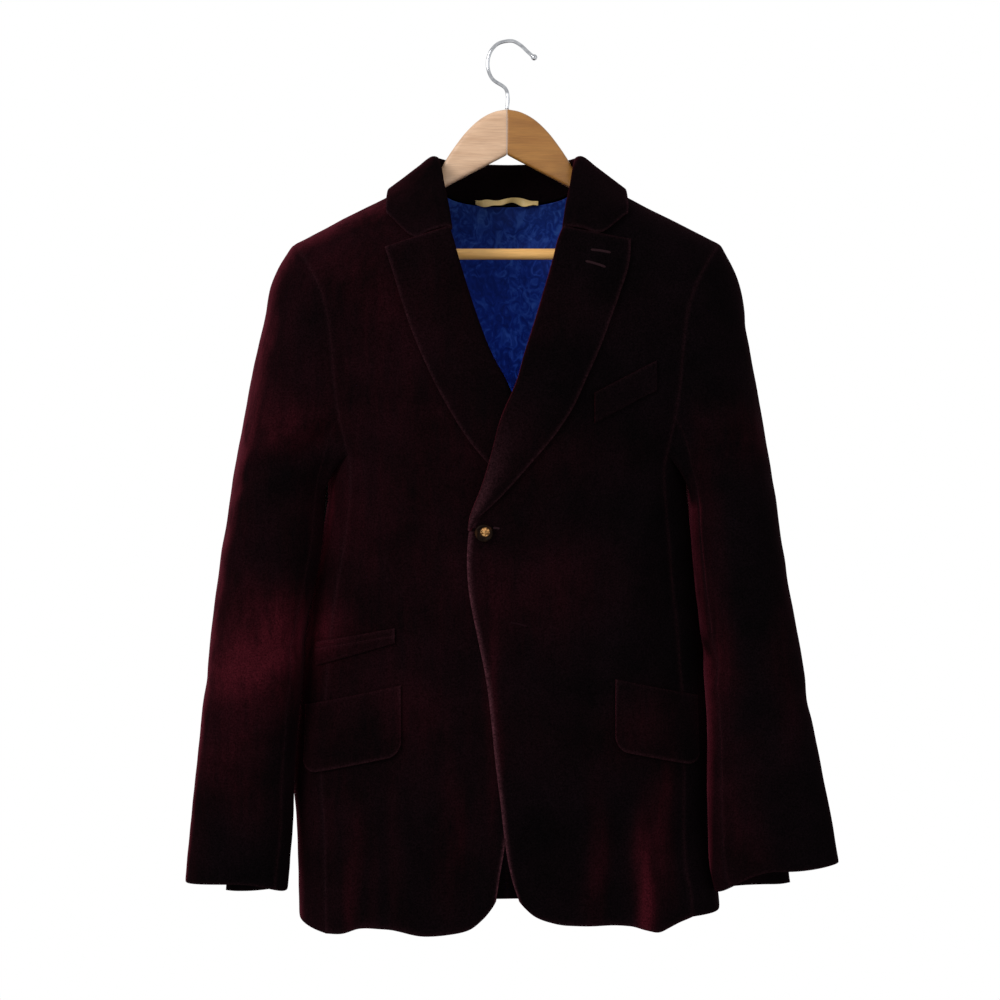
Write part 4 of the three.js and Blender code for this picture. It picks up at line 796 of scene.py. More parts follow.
def add_mesh(name, points, faces, materials, indices=None):
    mesh = bpy.data.meshes.new(name)
    mesh.vertices.add(len(points))
    mesh.vertices.foreach_set("co", (np.asarray(points, float) * MM).ravel())
    faces = [tuple(int(v) for v in face) for face in faces] if isinstance(faces, list) else faces
    sizes = [len(face) for face in faces]
    starts = np.concatenate([[0], np.cumsum(sizes)[:-1]])
    mesh.loops.add(int(sum(sizes)))
    mesh.loops.foreach_set("vertex_index", np.concatenate([np.asarray(face) for face in faces]))
    mesh.polygons.add(len(sizes))
    mesh.polygons.foreach_set("loop_start", starts)
    mesh.polygons.foreach_set("loop_total", sizes)
    for material in materials:
        mesh.materials.append(material)
    if indices is not None:
        mesh.polygons.foreach_set("material_index", indices)
    mesh.update(calc_edges=True)
    mesh.validate()
    mesh.polygons.foreach_set("use_smooth", np.ones(len(mesh.polygons), bool))
    piece = bpy.data.objects.new(name, mesh)
    bpy.context.scene.collection.objects.link(piece)
    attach(piece, "root")
    return piece


def painted_edge_sheen(face, glow, band):
    """How much painted sheen lies along the top, bottom, first and last edge, for both faces of a piece."""
    down, across = arc(face, 0), arc(face, 1)
    far = (down, down[-1:] - down, across, across[:, -1:] - across)
    light = sum(amount * np.exp(-(distance / band) ** 2) for amount, distance in zip(glow, far))
    return np.tile(light.ravel(), 2)


def looks_inward(outer, inner):
    """Whether the points' own order would turn the outer faces to the inside."""
    row, column = outer.shape[0] // 2, outer.shape[1] // 2
    here = outer[row, column]
    side = np.cross(outer[row, column + 1] - here, outer[row + 1, column] - here)
    return side.dot(here - inner[row, column]) < 0


def wall_faces(rows, columns, flip):
    """The outer faces, the inner faces and the rim between them."""
    count = rows * columns
    rim = rim_loop(rows, columns)
    ahead = np.roll(rim, -1)
    walls = np.stack([ahead, rim, rim + count, ahead + count], axis=1)
    return np.concatenate([
        grid_faces(rows, columns, 0, flip),
        grid_faces(rows, columns, count, not flip),
        walls[:, ::-1] if flip else walls,
    ])


EDGE_ROUND = 2.6
# The painted sheen along the edges: its width and its usual amounts on the four edges, then where across
# and how wide the painted highlight over a rolled edge lies.
EDGE_BAND = 2.4
EVEN_GLOW = (0.07, 0.07, 0.07, 0.07)
ROLL_AT = 1.1
ROLL_WIDTH = 0.45


def shell(name, surface, down, across, thickness, outer_material, inner_material, dip=0.35,
          faced=None, glow=EVEN_GLOW, light_share=1.0, band=EDGE_BAND, rolled=0.0):
    """A wall of cloth over surface(down, across, offset) that stands for the node of its name.

    Its edges are rounded and sink by dip. faced tells where a turned-in facing covers the inside. glow
    and band say how strong and wide the painted sheen along the edges is, light_share how much of the
    painted light the pile takes, and rolled how strong the painted highlight is where the piece rolls over
    an edge.
    """
    down, across = np.meshgrid(down, across, indexing="ij")
    face = surface(down, across, np.zeros_like(down))
    edge = edge_distance(face)
    near = np.minimum(edge / (thickness / 2), 1)
    pinch = thickness / 2 * (1 - np.sqrt(np.maximum(1 - (1 - near) ** 2, 0)))
    sunk = dip * np.exp(-(edge / EDGE_ROUND) ** 2)
    outer = surface(down, across, -np.minimum(pinch + sunk, thickness / 2))
    inner = surface(down, across, pinch - thickness)
    rows, columns = down.shape
    faces = wall_faces(rows, columns, looks_inward(outer, inner))
    indices = np.zeros(len(faces), int)
    quads = (rows - 1) * (columns - 1)
    indices[quads:2 * quads] = 1
    if faced is not None:
        indices[quads:2 * quads] = ~faced(inner[:-1, :-1], across[:-1, :-1]).ravel()
    points = np.concatenate([outer.reshape(-1, 3), inner.reshape(-1, 3)])
    piece = add_mesh(name + "_cloth", points, faces, [outer_material, inner_material], indices)
    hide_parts(name)
    # Painted highlight along the line where the piece rolls over an edge.
    roll = rolled * np.exp(-((across - ROLL_AT) / ROLL_WIDTH) ** 2) * smoothstep(0.5, 0.9, down)
    paint_pile_light(piece, painted_edge_sheen(face, glow, band) + np.tile(roll.ravel(), 2), light_share)


# How the light is painted on the pile: faces turned towards the light from the wearer's right are painted
# lighter, on the upper part also those turned up towards it, and so are the patches below.
LIGHT_FROM = np.array([-0.93, -0.12, 0.35])
LIGHT_FROM_ABOVE = np.array([-0.5, -0.12, 0.858])
UPPER_START = -240.0
UPPER_END = -330.0
# Patches of painted light on the front and the back of the cloth.
PAINTED_LIGHT_PATCHES = {
    "front": Table(
        "x z half_x half_z amount",
        (-268, -730, 30, 50, 0.26), (-246, -618, 50, 48, 1.05), (-236, -398, 40, 26, 0.34),
        (-155, -855, 9, 75, 0.22), (-140, -262, 46, 36, 0.15), (-104, -690, 30, 40, 0.12),
        (-55, -805, 13, 60, 0.16), (-14, -690, 7, 95, 0.25), (40, -560, 50, 60, 0.08),
        (90, -840, 10, 60, 0.2), (128, -700, 34, 36, 0.1), (137, -868, 8, 62, 0.85),
        (156, -800, 11, 62, 0.3), (208, -640, 12, 60, 0.25), (230, -404, 40, 30, 0.12),
        (-90, -430, 130, 290, 0.12), (236, -805, 22, 70, 0.1), (280, -640, 16, 80, 0.08),
    ),
    "back": Table(
        "x z half_x half_z amount",
        (-262, -620, 40, 62, 0.26), (-214, -390, 32, 60, 0.2), (-120, -300, 54, 74, 0.14),
        (-100, -780, 18, 120, 0.24), (-20, -560, 48, 100, 0.1), (60, -820, 16, 90, 0.2),
        (104, -740, 18, 120, 0.24), (140, -420, 38, 74, 0.13), (222, -400, 36, 62, 0.2),
        (268, -640, 38, 66, 0.22),
    ),
}


def painted_patches(points, facing):
    """How much the painted light patches on that side lighten the pile at each point."""
    x, z = points[:, 0], points[:, 2]
    total = np.zeros(len(points))
    for middle_x, middle_z, half_x, half_z, amount in zip(*PAINTED_LIGHT_PATCHES[facing].column.values()):
        sway = 0.35 * half_x * np.sin(z / 23 + middle_x)
        total += amount * np.exp(-((x - middle_x + sway) / half_x) ** 2 - ((z - middle_z) / half_z) ** 2)
    return total


def paint_pile_light(piece, edges, share):
    """Keeps on each point how much painted light its pile takes, 0 for its dark face, and how much painted
    sheen lies along its edges.
    """
    mesh = piece.data
    points = np.empty(len(mesh.vertices) * 3)
    normals = np.empty(len(mesh.vertices) * 3)
    mesh.vertices.foreach_get("co", points)
    mesh.vertex_normals.foreach_get("vector", normals)
    points, normals = points.reshape(-1, 3) / MM, normals.reshape(-1, 3)
    # Painted light: the nearer a face turns to the light, the lighter its pile is painted.
    lean = normals @ LIGHT_FROM
    painted_light = 1.15 * smoothstep(0.8, 1.0, lean) + 0.08 * smoothstep(0.2, 0.75, lean)
    upper = smoothstep(UPPER_END, UPPER_START, points[:, 2])
    painted_light += 0.85 * smoothstep(0.78, 1.0, normals @ LIGHT_FROM_ABOVE) * upper
    front = smoothstep(0, 0.5, -normals[:, 1])
    back = smoothstep(0, 0.5, normals[:, 1])
    painted_light = share * (painted_light + front * painted_patches(points, "front") + back * painted_patches(points, "back"))
    for name, values in (("painted_light", painted_light), ("edge_sheen", edges)):
        attribute = mesh.attributes.new(name, "FLOAT", "POINT")
        attribute.data.foreach_set("value", np.clip(values, 0, 1.2).astype(np.float32))


# Materials.
class Nodes:
    """A small helper for building one material's node tree."""

    def __init__(self, name):
        self.material = bpy.data.materials.new(name)
        self.material.use_nodes = True
        self.tree = self.material.node_tree
        self.shader = self.tree.nodes["Principled BSDF"]
        self.place = self.tree.nodes.new("ShaderNodeTexCoord").outputs["Object"]

    def link(self, source, target):
        self.tree.links.new(source, target)

    def fill(self, target, value):
        """Gives a socket a number or a colour, or links it to another node's output."""
        if isinstance(value, tuple):
            target.default_value = (*value, 1)
        elif isinstance(value, (int, float)):
            target.default_value = value
        else:
            self.link(value, target)

    def add(self, kind, vector=None, **values):
        node = self.tree.nodes.new(kind)
        for socket, value in values.items():
            node.inputs[socket].default_value = value
        if vector is not None:
            self.link(vector, node.inputs["Vector"])
        return node

    def attribute(self, name):
        node = self.add("ShaderNodeAttribute")
        node.attribute_name = name
        return node.outputs["Fac"]

    def noise(self, scale, detail=2.0, roughness=0.5, vector=None):
        values = {"Scale": scale, "Detail": detail, "Roughness": roughness}
        return self.add("ShaderNodeTexNoise", vector or self.place, **values).outputs["Fac"]

    def stretched(self, scale):
        return self.add("ShaderNodeMapping", self.place, Scale=scale).outputs["Vector"]

    def ramp(self, source, *stops):
        node = self.add("ShaderNodeValToRGB")
        ramp = node.color_ramp
        while len(ramp.elements) < len(stops):
            ramp.elements.new(0.5)
        for element, (at, colour) in zip(ramp.elements, stops):
            element.position = at
            element.color = (*colour, 1)
        self.link(source, node.inputs["Fac"])
        return node.outputs["Color"]

    def mix(self, share, first, second, blend="MIX"):
        node = self.add("ShaderNodeMix")
        node.data_type = "RGBA"
        node.blend_type = blend
        for socket, value in ((0, share), (6, first), (7, second)):
            self.fill(node.inputs[socket], value)
        return node.outputs[2]

    def math(self, operation, first, second):
        node = self.add("ShaderNodeMath")
        node.operation = operation
        self.fill(node.inputs[0], first)
        self.fill(node.inputs[1], second)
        return node.outputs[0]

    def bump(self, height, strength, distance):
        node = self.add("ShaderNodeBump", Strength=strength, Distance=distance)
        self.link(height, node.inputs["Height"])
        self.link(node.outputs["Normal"], self.shader.inputs["Normal"])

    def colour(self, source):
        self.link(source, self.shader.inputs["Base Color"])

    def set(self, **values):
        for key, value in values.items():
            self.shader.inputs[key.replace("_", " ")].default_value = value


def velour(name, dark, dusky, glow, sheen_tint):
    """Cut pile: near black face on, wine red where light is painted on the pile and where it is seen at a
    slant, with a painted sheen along its edges.
    """
    n = Nodes(name)
    streak = n.noise(70, 4.0, 0.65, n.stretched((1.6, 1.6, 0.22)))
    cloud = n.noise(16, 3.0, 0.6)
    pile = n.noise(620, 3.0, 0.7)
    uneven = n.math("SUBTRACT", n.math("MULTIPLY", n.math("ADD", streak, cloud), 2.2), 1.2)
    # Painted light: the pile's painted light, broken up by streaky noise, mixes the base towards the lit
    # wine colour, and the painted sheen turns the edges pinkish grey.
    painted_light = n.math("MULTIPLY", n.attribute("painted_light"), uneven)
    edge_sheen = n.math("MULTIPLY", n.attribute("edge_sheen"), n.math("MULTIPLY", n.noise(330, 2.0), 2.0))
    base = n.ramp(cloud, (0.35, dark), (0.75, dusky))
    colour = n.mix(edge_sheen, n.mix(painted_light, base, glow), EDGE_SHEEN_COLOUR)
    speck = n.ramp(pile, (0.32, (0.45, 0.45, 0.45)), (0.7, (1.6, 1.6, 1.6)))
    n.colour(n.mix(1.0, colour, speck, "MULTIPLY"))
    height = n.math("ADD", pile, n.noise(240, 2.0))
    n.bump(height, 0.4, 0.0006)
    # Painted sheen: the sheen grows with the painted light.
    n.link(n.math("ADD", n.math("MULTIPLY", painted_light, 0.12), 0.012), n.shader.inputs["Sheen Weight"])
    n.set(Roughness=0.95, Specular_IOR_Level=0.004, Sheen_Roughness=0.34, Sheen_Tint=(*sheen_tint, 1))
    return n.material


# Painted light on the lining: from the first depth below the hook, over the second span, in metres, it
# turns from painted darker at the top to painted lighter lower down, where it lies in the jacket's shade.
LINING_TOP = 0.17
LINING_SHOWS = 0.22


def lining_material():
    n = Nodes("blue figured lining")
    drawn = n.stretched((1.0, 1.0, 0.75))
    figure = n.add("ShaderNodeTexNoise", drawn, Scale=105, Detail=4.0, Distortion=1.9)
    figure = n.math("MULTIPLY", figure.outputs["Fac"], 0.75)
    both = n.math("ADD", figure, n.math("MULTIPLY", n.noise(22, 2.0), 0.3))
    colour = n.ramp(both, (0.4, (0.0074, 0.035, 0.38)), (0.52, (0.011, 0.054, 0.57)),
                    (0.6, (0.025, 0.105, 0.8)), (0.7, (0.054, 0.19, 1.0)))
    # Painted light: the figured colours are made very bright and painted darker near the top, so the lower
    # lining, in the jacket's shade, comes out lighter.
    height = n.add("ShaderNodeSeparateXYZ")
    n.link(n.place, height.inputs[0])
    low = n.math("MULTIPLY", n.math("ADD", height.outputs["Z"], LINING_TOP), -1.0 / LINING_SHOWS)
    painted_lining_light = n.ramp(low, (0.0, (0.36, 0.29, 0.205)), (1.0, (1, 1, 1)))
    n.colour(n.mix(1.0, colour, painted_lining_light, "MULTIPLY"))
    thread = n.add("ShaderNodeTexWave", n.place, Scale=900, Distortion=1.0)
    n.bump(n.math("ADD", thread.outputs["Fac"], both), 0.3, 0.0003)
    n.set(Roughness=0.5, Specular_IOR_Level=0.08)
    return n.material


def ribbon_material():
    n = Nodes("gold ribbon")
    wave = n.add("ShaderNodeTexWave", n.place, Scale=420, Distortion=0.6)
    n.colour(n.ramp(wave.outputs["Fac"], (0.2, (0.28, 0.185, 0.06)), (0.8, (0.66, 0.48, 0.2))))
    n.bump(wave.outputs["Fac"], 0.5, 0.0003)
    n.set(Roughness=0.38, Specular_IOR_Level=0.6)
    return n.material


def wood(name, pale, deep, gloss):
    n = Nodes(name)
    grain = n.noise(34, 5.0, 0.6, n.stretched((0.35, 2.0, 3.5)))
    fibre = n.noise(900, 2.0, 0.5, n.stretched((0.06, 1.0, 1.0)))
    colour = n.ramp(grain, (0.3, deep), (0.68, pale))
    streak = n.ramp(fibre, (0.3, (0.86, 0.86, 0.86)), (0.7, (1.06, 1.06, 1.06)))
    n.colour(n.mix(1.0, colour, streak, "MULTIPLY"))
    n.bump(fibre, 0.12, 0.0002)
    n.set(Roughness=gloss, Specular_IOR_Level=0.3, Coat_Weight=0.15, Coat_Roughness=0.2)
    return n.material


def horn_material():
    n = Nodes("dark horn with a painted glint")
    cloud = n.noise(150, 4.0, 0.6, n.stretched((1.0, 1.0, 0.5)))
    horn = n.ramp(cloud, (0.38, (0.003, 0.0013, 0.0007)), (0.5, (0.006, 0.0025, 0.0012)),
                  (0.66, (0.02, 0.008, 0.003)))
    # Painted highlight: an amber spot on the dish, set a little off its middle, stands in for the button's
    # glint on the dark horn.
    scale = 1 / (BUTTON["radius"] * MM)
    middle = (BUTTON["x"] + 1) * MM * scale, (BUTTON["z"] - 0.5) * MM * scale
    corner = (-middle[0], 0, -middle[1])
    flat = n.add("ShaderNodeMapping", n.place, Scale=(scale, 0, scale), Location=corner)
    ball = n.add("ShaderNodeTexGradient", flat.outputs["Vector"])
    ball.gradient_type = "SPHERICAL"
    dish = n.ramp(ball.outputs["Fac"], (0.46, (0, 0, 0)), (0.6, (1, 1, 1)))
    gilt = n.ramp(n.noise(420, 2.0), (0.4, (0.09, 0.042, 0.013)), (0.6, (0.5, 0.26, 0.095)))
    n.colour(n.mix(dish, horn, gilt))
    n.set(Roughness=0.45, Specular_IOR_Level=0.03)
    return n.material


def chrome_material():
    n = Nodes("chrome")
    smear = n.noise(240, 3.0)
    n.colour(n.ramp(smear, (0.3, (0.3, 0.31, 0.33)), (0.7, (0.5, 0.51, 0.53))))
    n.set(Metallic=1.0, Roughness=0.12)
    return n.material


def thread_material(name, colour):
    n = Nodes(name)
    twist = n.noise(1200, 2.0)
    n.colour(n.ramp(twist, (0.3, tuple(0.7 * c for c in colour)), (0.7, tuple(1.2 * c for c in colour))))
    n.bump(twist, 0.5, 0.0002)
    n.set(Roughness=0.9, Specular_IOR_Level=0.01)
    return n.material


SHEEN_TINT = (0.9, 0.16, 0.26)
# The lit wine colour of the painted light, and the pinkish grey of the painted sheen along the edges.
PAINTED_LIGHT_COLOUR = (0.0215, 0.0025, 0.0043)
EDGE_SHEEN_COLOUR = (0.036, 0.012, 0.016)
VELOUR = velour("wine velour", (0.0012, 0.0008, 0.001), (0.0023, 0.0012, 0.0017), PAINTED_LIGHT_COLOUR, SHEEN_TINT)
TRIM = velour("wine velour trim", (0.0013, 0.0008, 0.001), (0.0025, 0.0012, 0.0017), PAINTED_LIGHT_COLOUR, SHEEN_TINT)
LINING_BLUE = lining_material()
RIBBON = ribbon_material()
# Painted light on the hanger's arms: one lacquered wood, in a paler lit copy for the arm on the wearer's
# right, towards the light, and a darker golden shaded copy for the far arm.
WOOD_PAINTED_LIT = wood("lacquered wood painted lit", (0.52, 0.35, 0.231), (0.39, 0.241, 0.147), 0.4)
WOOD_PAINTED_SHADED = wood("lacquered wood painted shaded", (0.27, 0.122, 0.026), (0.198, 0.08, 0.015), 0.4)
# The bar's pale tan is partly its own light wood and partly painted light that lifts it out of the jacket's
# shade.
BAR_WOOD_PAINTED_LIGHTER = wood("pale turned bar painted lighter", (0.8, 0.46, 0.15), (0.66, 0.34, 0.095), 0.45)
HORN = horn_material()
CHROME = chrome_material()
MAUVE = thread_material("mauve buttonhole thread", (0.013, 0.006, 0.0075))
DARK_THREAD = thread_material("dark sewing thread", (0.0055, 0.0018, 0.0026))
GILT_THREAD = thread_material("gilt sewing thread", (0.5, 0.3, 0.12))


def lining_pucker(x, down):
    """Soft creases and a pressed pleat beside the middle seam, all towards the inside of the jacket."""
    z = down * 730
    crease = np.sin(x / 8.5 + z / 19 + np.sin(z / 31)) * np.sin(z / 12.5 - x / 23)
    fine = np.sin(x / 4.1 - z / 7.3) * np.sin(z / 5.2 + x / 9)
    pleat = 1.6 * smoothstep(3, 6, np.abs(x)) * (1 - smoothstep(6, 9, np.abs(x)))
    return (0.9 + 0.75 * crease + 0.25 * fine + pleat) * smoothstep(-0.001, 0.02, down)


# The turned-up hems, and the fronts' own facing along their edge.
HEM_TURN = 42.0
FACING = 0.36
ARMHOLE_FACING = 0.9
SEAM_TURN_IN = 30.0
VENT_FACING = 0.45


def hem_turn(face, across):
    return arc(face, 0)[-1:] - arc(face, 0) < HEM_TURN


def front_facing(face, across):
    return hem_turn(face, across) | (across < FACING) | (across > ARMHOLE_FACING)


def seam_turn(face, across):
    return hem_turn(face, across) | (arc(face, 0) < SEAM_TURN_IN)


def vent_turn(face, across):
    """across is 0 at the sleeve's back seam here."""
    low = arc(face, 0)[-1:] - arc(face, 0) < VENT_LENGTH + HEM_TURN
    return seam_turn(face, across) | (low & (across < VENT_FACING))


def under_vent_turn(face, across):
    return vent_turn(face, 1 - across)


# Panels.
LEAF_END = 0.985
LINING_WIDTH = 0.89
LINING_ROWS = (-0.001, 0.905)


def lapel_columns():
    """Close together at the leaf's edge, round the roll and at the end inside it."""
    leaf = spaced(40, 70)[:-1] * LEAF_END
    roll = np.linspace(LEAF_END, 1, 4)[1:]
    around_edge = np.linspace(1, 2, 17)[1:]
    inside = 2 + spaced(3, 14)[-9:]
    return np.unique(np.round(np.concatenate([leaf, roll, around_edge, inside]), 6))


def lining_point(side, down, across, offset):
    rows = lerp(*LINING_ROWS, down)
    pucker = lining_pucker(handed(side) * across * TIP_X, rows)
    return back_point(side, rows, across * LINING_WIDTH, offset - CLOTH - LAYER_GAP + 0.5 - pucker)


def build_side(side):
    line = armhole_line(side)
    shell(f"front_{side}", partial(front_point, side), spaced(206, 700), spaced(86, 190), CLOTH,
          VELOUR, LINING_BLUE, faced=front_facing, glow=(0.05, 0.12, 0.8, 0.1), band=3.2)
    shell(f"back_{side}", partial(back_point, side), spaced(164, 730), spaced(62, 190), CLOTH,
          VELOUR, VELOUR)
    shell(f"side_{side}", partial(side_point, side), spaced(120, 460), spaced(34, 130), CLOTH,
          VELOUR, LINING_BLUE, faced=seam_turn)
    shell(f"top_sleeve_{side}", partial(top_sleeve_point, side, line), spaced(204, 640), spaced(82, 260),
          CLOTH, VELOUR, LINING_BLUE, faced=vent_turn)
    shell(f"under_sleeve_{side}", partial(under_sleeve_point, side, line), spaced(176, 560),
          spaced(54, 180), CLOTH, VELOUR, LINING_BLUE, faced=under_vent_turn)
    shell(f"lapel_{side}", partial(lapel_point, side), spaced(110, 300), lapel_columns(), LAPEL,
          VELOUR, VELOUR, dip=0.0, glow=(0.1, 0, 0.18, 0), light_share=0.6, rolled=0.4)
    shell(f"flap_{side}", partial(flap_point, side), spaced(40, 70), spaced(52, 95), FLAP,
          TRIM, TRIM, dip=0.1, glow=(0.05, 0.16, 0.16, 0.06))
    shell(f"lining_back_{side}", partial(lining_point, side), spaced(124, 700), spaced(50, 170), LINING,
          LINING_BLUE, LINING_BLUE, dip=0.0)


def build_small_pieces():
    for part in ("upper", "lower"):
        shell(f"ticket_jet_{part}", partial(jet_point, part), spaced(10, 9), spaced(60, 85), FLAP,
              TRIM, TRIM, dip=0.0, glow=(0.08, 0.04, 0.12, 0))
    shell("chest_welt", welt_point, spaced(20, 30), spaced(44, 65), FLAP,
          TRIM, TRIM, dip=0.05, glow=(0.05, 0.02, 0.02, 0.02))
    shell("hanging_loop", loop_point, spaced(8, 9), spaced(90, 66), LOOP["thickness"],
          RIBBON, RIBBON, dip=0.0)


def build_collar():
    rows, columns = spaced(190, 420), spaced(54, 95)
    lines = collar_lines(rows, columns)
    down = np.gradient(lines, axis=1)
    along = np.gradient(lines, axis=0)
    normal = unit(np.cross(down, along))

    def surface(d, a, offset):
        return lines + normal * (offset + COLLAR / 2 + unevenness(lines) * 0.6)[..., None]

    shell("collar", surface, rows, columns, COLLAR, VELOUR, TRIM, dip=0.0, glow=(0.12, 0.12, 0, 0.2),
          light_share=0.3)


build_side("left")
build_side("right")
build_small_pieces()
build_collar()


# Hanger.
ARM_SQUARENESS = 4.2
# Where the rings that round an arm's two ends lie, and how much smaller each is.
NEAR_END = {"places": (0.15, 0.4, 0.9), "less": (0.9, 0.4, 0.1)}
FAR_END = {"places": (205.7, 206), "less": (0.8, 2.2)}
ARM_RINGS = 120


def full_turn(count):
    return np.linspace(0, 2 * math.pi, count + 1)[:-1]


def tube(name, sections, material, turned=False):
    """A closed skin through rings of equally many points, with each end drawn to a middle point."""
    sections = np.asarray(sections, float)
    count, sides = sections.shape[:2]
    last = (count - 1) * sides
    faces = []
    for s in range(count - 1):
        for k in range(sides):
            a, b = s * sides + k, s * sides + (k + 1) % sides
            faces.append((a, b, b + sides, a + sides))
    for k in range(sides):
        faces.append((count * sides, (k + 1) % sides, k))
        faces.append((count * sides + 1, last + k, last + (k + 1) % sides))
    if turned:
        faces = [face[:1] + face[:0:-1] for face in faces]
    ends = sections[:1].mean(axis=1), sections[-1:].mean(axis=1)
    return add_mesh(name, np.concatenate([sections.reshape(-1, 3), *ends]), faces, [material])


def stand_in(piece, replaced):
    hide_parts(replaced)


def arm_ring(side, x, shrink):
    top, bottom, half = (float(ARM.read(name, x)) for name in ("top", "bottom", "half"))
    turn = full_turn(48)
    c, s = np.cos(turn), np.sin(turn)
    power = 2 / ARM_SQUARENESS
    tall = (top - bottom) / 2 - shrink
    y = (half - shrink) * np.sign(c) * np.abs(c) ** power
    z = (top + bottom) / 2 + tall * np.sign(s) * np.abs(s) ** power
    return np.stack([np.full_like(y, handed(side) * x), y, z], axis=-1)


def build_arm(side, material):
    places = np.concatenate([NEAR_END["places"], np.linspace(1.6, 205.2, ARM_RINGS), FAR_END["places"]])
    shrink = np.concatenate([NEAR_END["less"], np.zeros(ARM_RINGS), FAR_END["less"]])
    rings = [arm_ring(side, x, less) for x, less in zip(places, shrink)]
    if side == "left":
        rings = rings[::-1]
    stand_in(tube(f"hanger_arm_{side}_wood", rings, material), f"hanger_arm_{side}")


def build_bar():
    turn = full_turn(36)
    y, z = BAR["radius"] * np.cos(turn), BAR["z"] + BAR["radius"] * np.sin(turn)
    places = np.linspace(BAR["reach"], -BAR["reach"], 60)
    rings = [np.stack([np.full_like(y, x), y, z], axis=-1) for x in places]
    stand_in(tube("hanger_bar_wood", rings, BAR_WOOD_PAINTED_LIGHTER), "hanger_bar")


def build_hook():
    """The wire along its path, swelling to a round tip."""
    path = np.array([(x, 0, z) for x, z in HOOK_PATH], float)
    centre = spline(path, np.linspace(0, len(path) - 1, 170))
    ahead = unit(np.gradient(centre, axis=0))
    to_tip = np.linalg.norm(np.diff(centre, axis=0), axis=1)[::-1].cumsum()[::-1]
    to_tip = np.append(to_tip, 0)
    swell = np.sqrt(np.maximum(HOOK_TIP ** 2 - (to_tip - HOOK_TIP) ** 2, 0))
    radius = np.where(to_tip < HOOK_TIP, swell, np.maximum(swell, HOOK_WIRE))
    turn = full_turn(36)
    rings = []
    for middle, way, size in zip(centre, ahead, np.maximum(radius, 0.15)):
        across = np.array([way[2], 0, -way[0]])
        ring = np.cos(turn)[:, None] * across + np.sin(turn)[:, None] * np.array([0, 1.0, 0])
        rings.append(middle + ring * size)
    stand_in(tube("hanger_hook_wire", rings, CHROME), "hanger_hook")


build_arm("left", WOOD_PAINTED_SHADED)
build_arm("right", WOOD_PAINTED_LIT)
build_bar()
build_hook()


# Button and the sewn details.
BUTTON_PROFILE = (
    (0.02, 0), (0.4, 0), (0.72, 0), (0.88, 0.14), (0.97, 0.36), (1.0, 0.58), (0.98, 0.78), (0.93, 0.92),
    (0.86, 1.0), (0.78, 0.98), (0.72, 0.9), (0.66, 0.78), (0.6, 0.7), (0.5, 0.67), (0.4, 0.66),
    (0.3, 0.655), (0.2, 0.65), (0.1, 0.65), (0.02, 0.65),
)
HOLE_AT = 1.6
HOLE_DEPTH = 1.5
HOLES = [(x * HOLE_AT, z * HOLE_AT) for x, z in ((1, 1), (-1, 1), (1, -1), (-1, -1))]
DISH_HEIGHT = 0.65
THREAD_RADIUS = 0.5


def front_frame(side, x, z, offset):
    """A point on a front, with directions across, up and out of the cloth."""
    at = np.array([x, x + 1.0, x]), np.array([z, z, z + 1.0])
    here, across, up = on_front(side, at[0], at[1], np.full(3, float(offset)))
    across, up = unit(across - here), unit(up - here)
    out = unit(np.cross(across, up))
    return here, across, up, -out * np.sign(out[1])


def add_cord(name, path, radius, material, flatten=1.0):
    """A short sewn strand along a path, thinner at both ends."""
    ahead = unit(np.gradient(path, axis=0))
    side = unit(np.cross(ahead, np.array([0.0, -1.0, 0.0])))
    lift = unit(np.cross(side, ahead))
    turn = full_turn(12)
    ends = np.minimum(np.arange(len(path)), np.arange(len(path))[::-1])
    size = radius * np.minimum(0.35 + 0.4 * ends, 1)
    rings = [
        middle + thick * (np.cos(turn)[:, None] * s + np.sin(turn)[:, None] * flatten * u)
        for middle, thick, s, u in zip(path, size, side, lift)
    ]
    tube(name, rings, material, turned=True)


def build_button():
    """A round button with a raised rim, a dish with four holes and two stitches across it."""
    radius, thick = BUTTON["radius"], BUTTON["thickness"]
    spots = spline(np.array(BUTTON_PROFILE), np.linspace(0, len(BUTTON_PROFILE) - 1, 74))
    turn = full_turn(96)
    here, across, up, out = front_frame("left", BUTTON["x"], BUTTON["z"], LAYER_GAP)
    rings = []
    for share, height in spots:
        flat_x, flat_z = share * radius * np.cos(turn), share * radius * np.sin(turn)
        lift = np.full_like(turn, height * thick)
        if height > 0.5:
            for hole_x, hole_z in HOLES:
                far = np.hypot(flat_x - hole_x, flat_z - hole_z)
                lift -= HOLE_DEPTH * (1 - smoothstep(0.75, 1.05, far))
        rings.append(here + flat_x[:, None] * across + flat_z[:, None] * up + lift[:, None] * out)
    stand_in(tube("button_horn", rings[::-1], HORN), "button")
    share = np.linspace(-1, 1, 15)[:, None]
    arch = 1.1 * (1 - share ** 2) + 0.2
    for index, way in enumerate((-1, 1)):
        spot = here + across * HOLE_AT * share + up * HOLE_AT * way
        path = spot + out * (DISH_HEIGHT * thick - 0.5 + arch)
        add_cord(f"button_thread_{index + 1}", path, THREAD_RADIUS, GILT_THREAD)


def build_buttonholes():
    """Two sewn holes on the left lapel, the end of the one behind the button, and one below it."""
    marks = (
        ("lapel_hole_upper", (82.5, -222.4), (102.5, -225.5), LAPEL_GAP + LAPEL + 0.35, 1.3, MAUVE),
        ("lapel_hole_lower", (77.5, -233.5), (97.5, -239.5), LAPEL_GAP + LAPEL + 0.85, 1.3, MAUVE),
        ("front_hole_end", (-14, -497.5), (-7.5, -498.5), 0.3, 1.1, MAUVE),
        ("front_hole_lower", (3, -593), (20, -597), 0.3, 1.2, DARK_THREAD),
    )
    for name, start, end, offset, radius, material in marks:
        share = np.linspace(0, 1, 26)
        x = lerp(start[0], end[0], share)
        z = lerp(start[1], end[1], share) + 0.5 * np.sin(share * 3)
        path = on_front("left", x, z, np.full_like(x, offset))
        add_cord(name, path, radius, material, flatten=0.45)


build_button()
build_buttonholes()


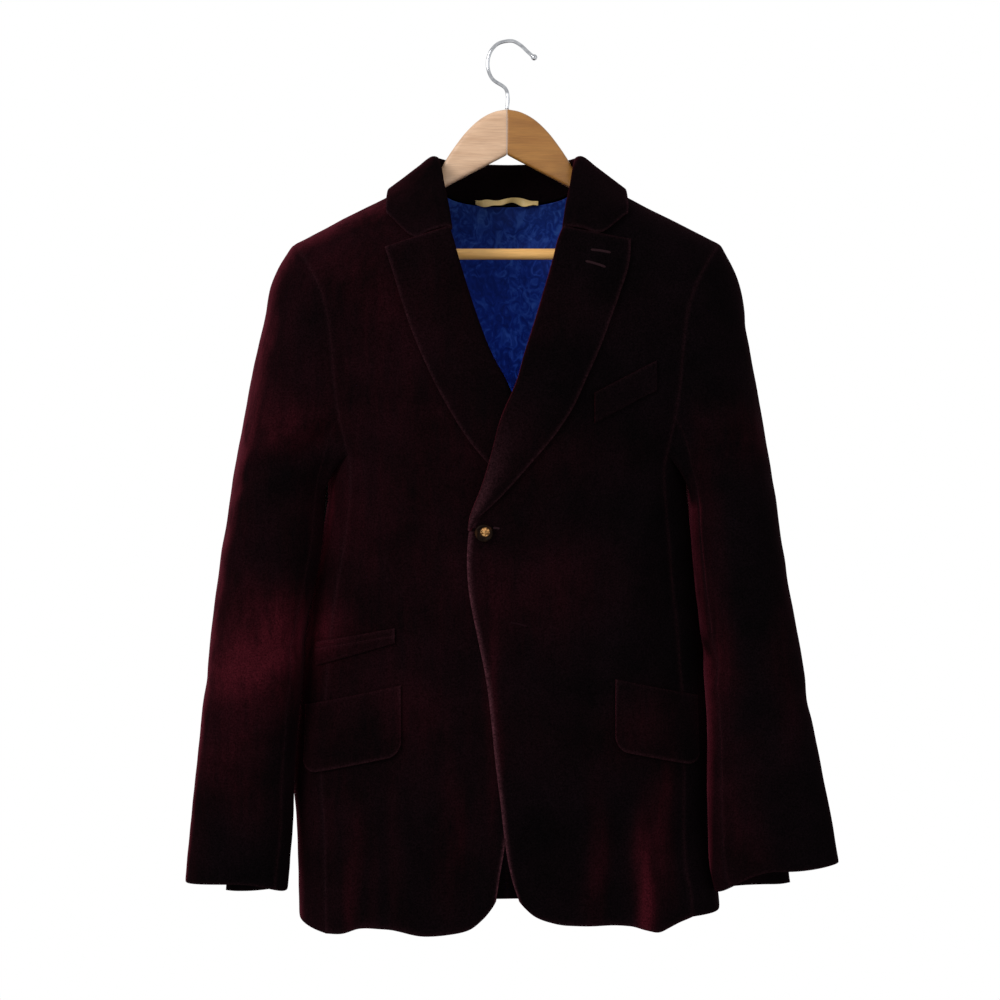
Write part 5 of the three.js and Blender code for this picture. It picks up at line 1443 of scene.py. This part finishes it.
# Floor, lights, world and camera.
RAIL_HEIGHT = 1.75
FLOOR_RADIUS = 2.3
CAMERA = (-0.0072, -2.4, -0.4707)
VIEW_WIDTH = 1.03


def add_floor():
    place = (0, 0, -RAIL_HEIGHT)
    bpy.ops.mesh.primitive_circle_add(vertices=96, radius=FLOOR_RADIUS, fill_type="NGON", location=place)
    floor = bpy.context.object
    floor.name = "studio_floor"
    n = Nodes("pale floor")
    n.colour(n.ramp(n.noise(3, 3.0), (0.3, (0.86, 0.86, 0.86)), (0.7, (0.9, 0.9, 0.9))))
    n.set(Roughness=0.8)
    floor.data.materials.append(n.material)


def add_light(name, place, target, size, watts, colour):
    light = bpy.data.lights.new(name, "AREA")
    light.shape = "RECTANGLE"
    light.size, light.size_y = size
    light.energy = watts
    light.color = colour
    lamp = bpy.data.objects.new(name, light)
    bpy.context.scene.collection.objects.link(lamp)
    aim(lamp, place, target)


def aim(thing, place, target):
    way = np.array(target, float) - np.array(place, float)
    flat = math.hypot(way[0], way[1])
    thing.location = place
    thing.rotation_euler = (math.pi / 2 + math.atan2(way[2], flat), 0, math.atan2(-way[0], way[1]))


def add_world():
    world = bpy.data.worlds.new("studio")
    world.use_nodes = True
    background = world.node_tree.nodes["Background"]
    background.inputs["Color"].default_value = (1, 1, 1, 1)
    background.inputs["Strength"].default_value = 1.0
    bpy.context.scene.world = world


add_floor()
add_world()
add_light("key", (-1.9, -2.2, 0.75), (0, 0, -0.5), (1.1, 1.3), 64, (1, 0.98, 0.96))
add_light("fill", (1.9, -1.6, 0.2), (0, 0, -0.45), (1.2, 1.2), 8, (0.96, 0.97, 1))

camera = bpy.data.cameras.new("camera")
camera.sensor_fit = "HORIZONTAL"
camera.angle = 2 * math.atan(VIEW_WIDTH / 2 / -CAMERA[1])
camera.dof.use_dof = False
lens = bpy.data.objects.new("camera", camera)
bpy.context.scene.collection.objects.link(lens)
aim(lens, CAMERA, (CAMERA[0], 0, CAMERA[2]))
bpy.context.scene.camera = lens
bpy.context.scene.view_settings.view_transform = "Standard"
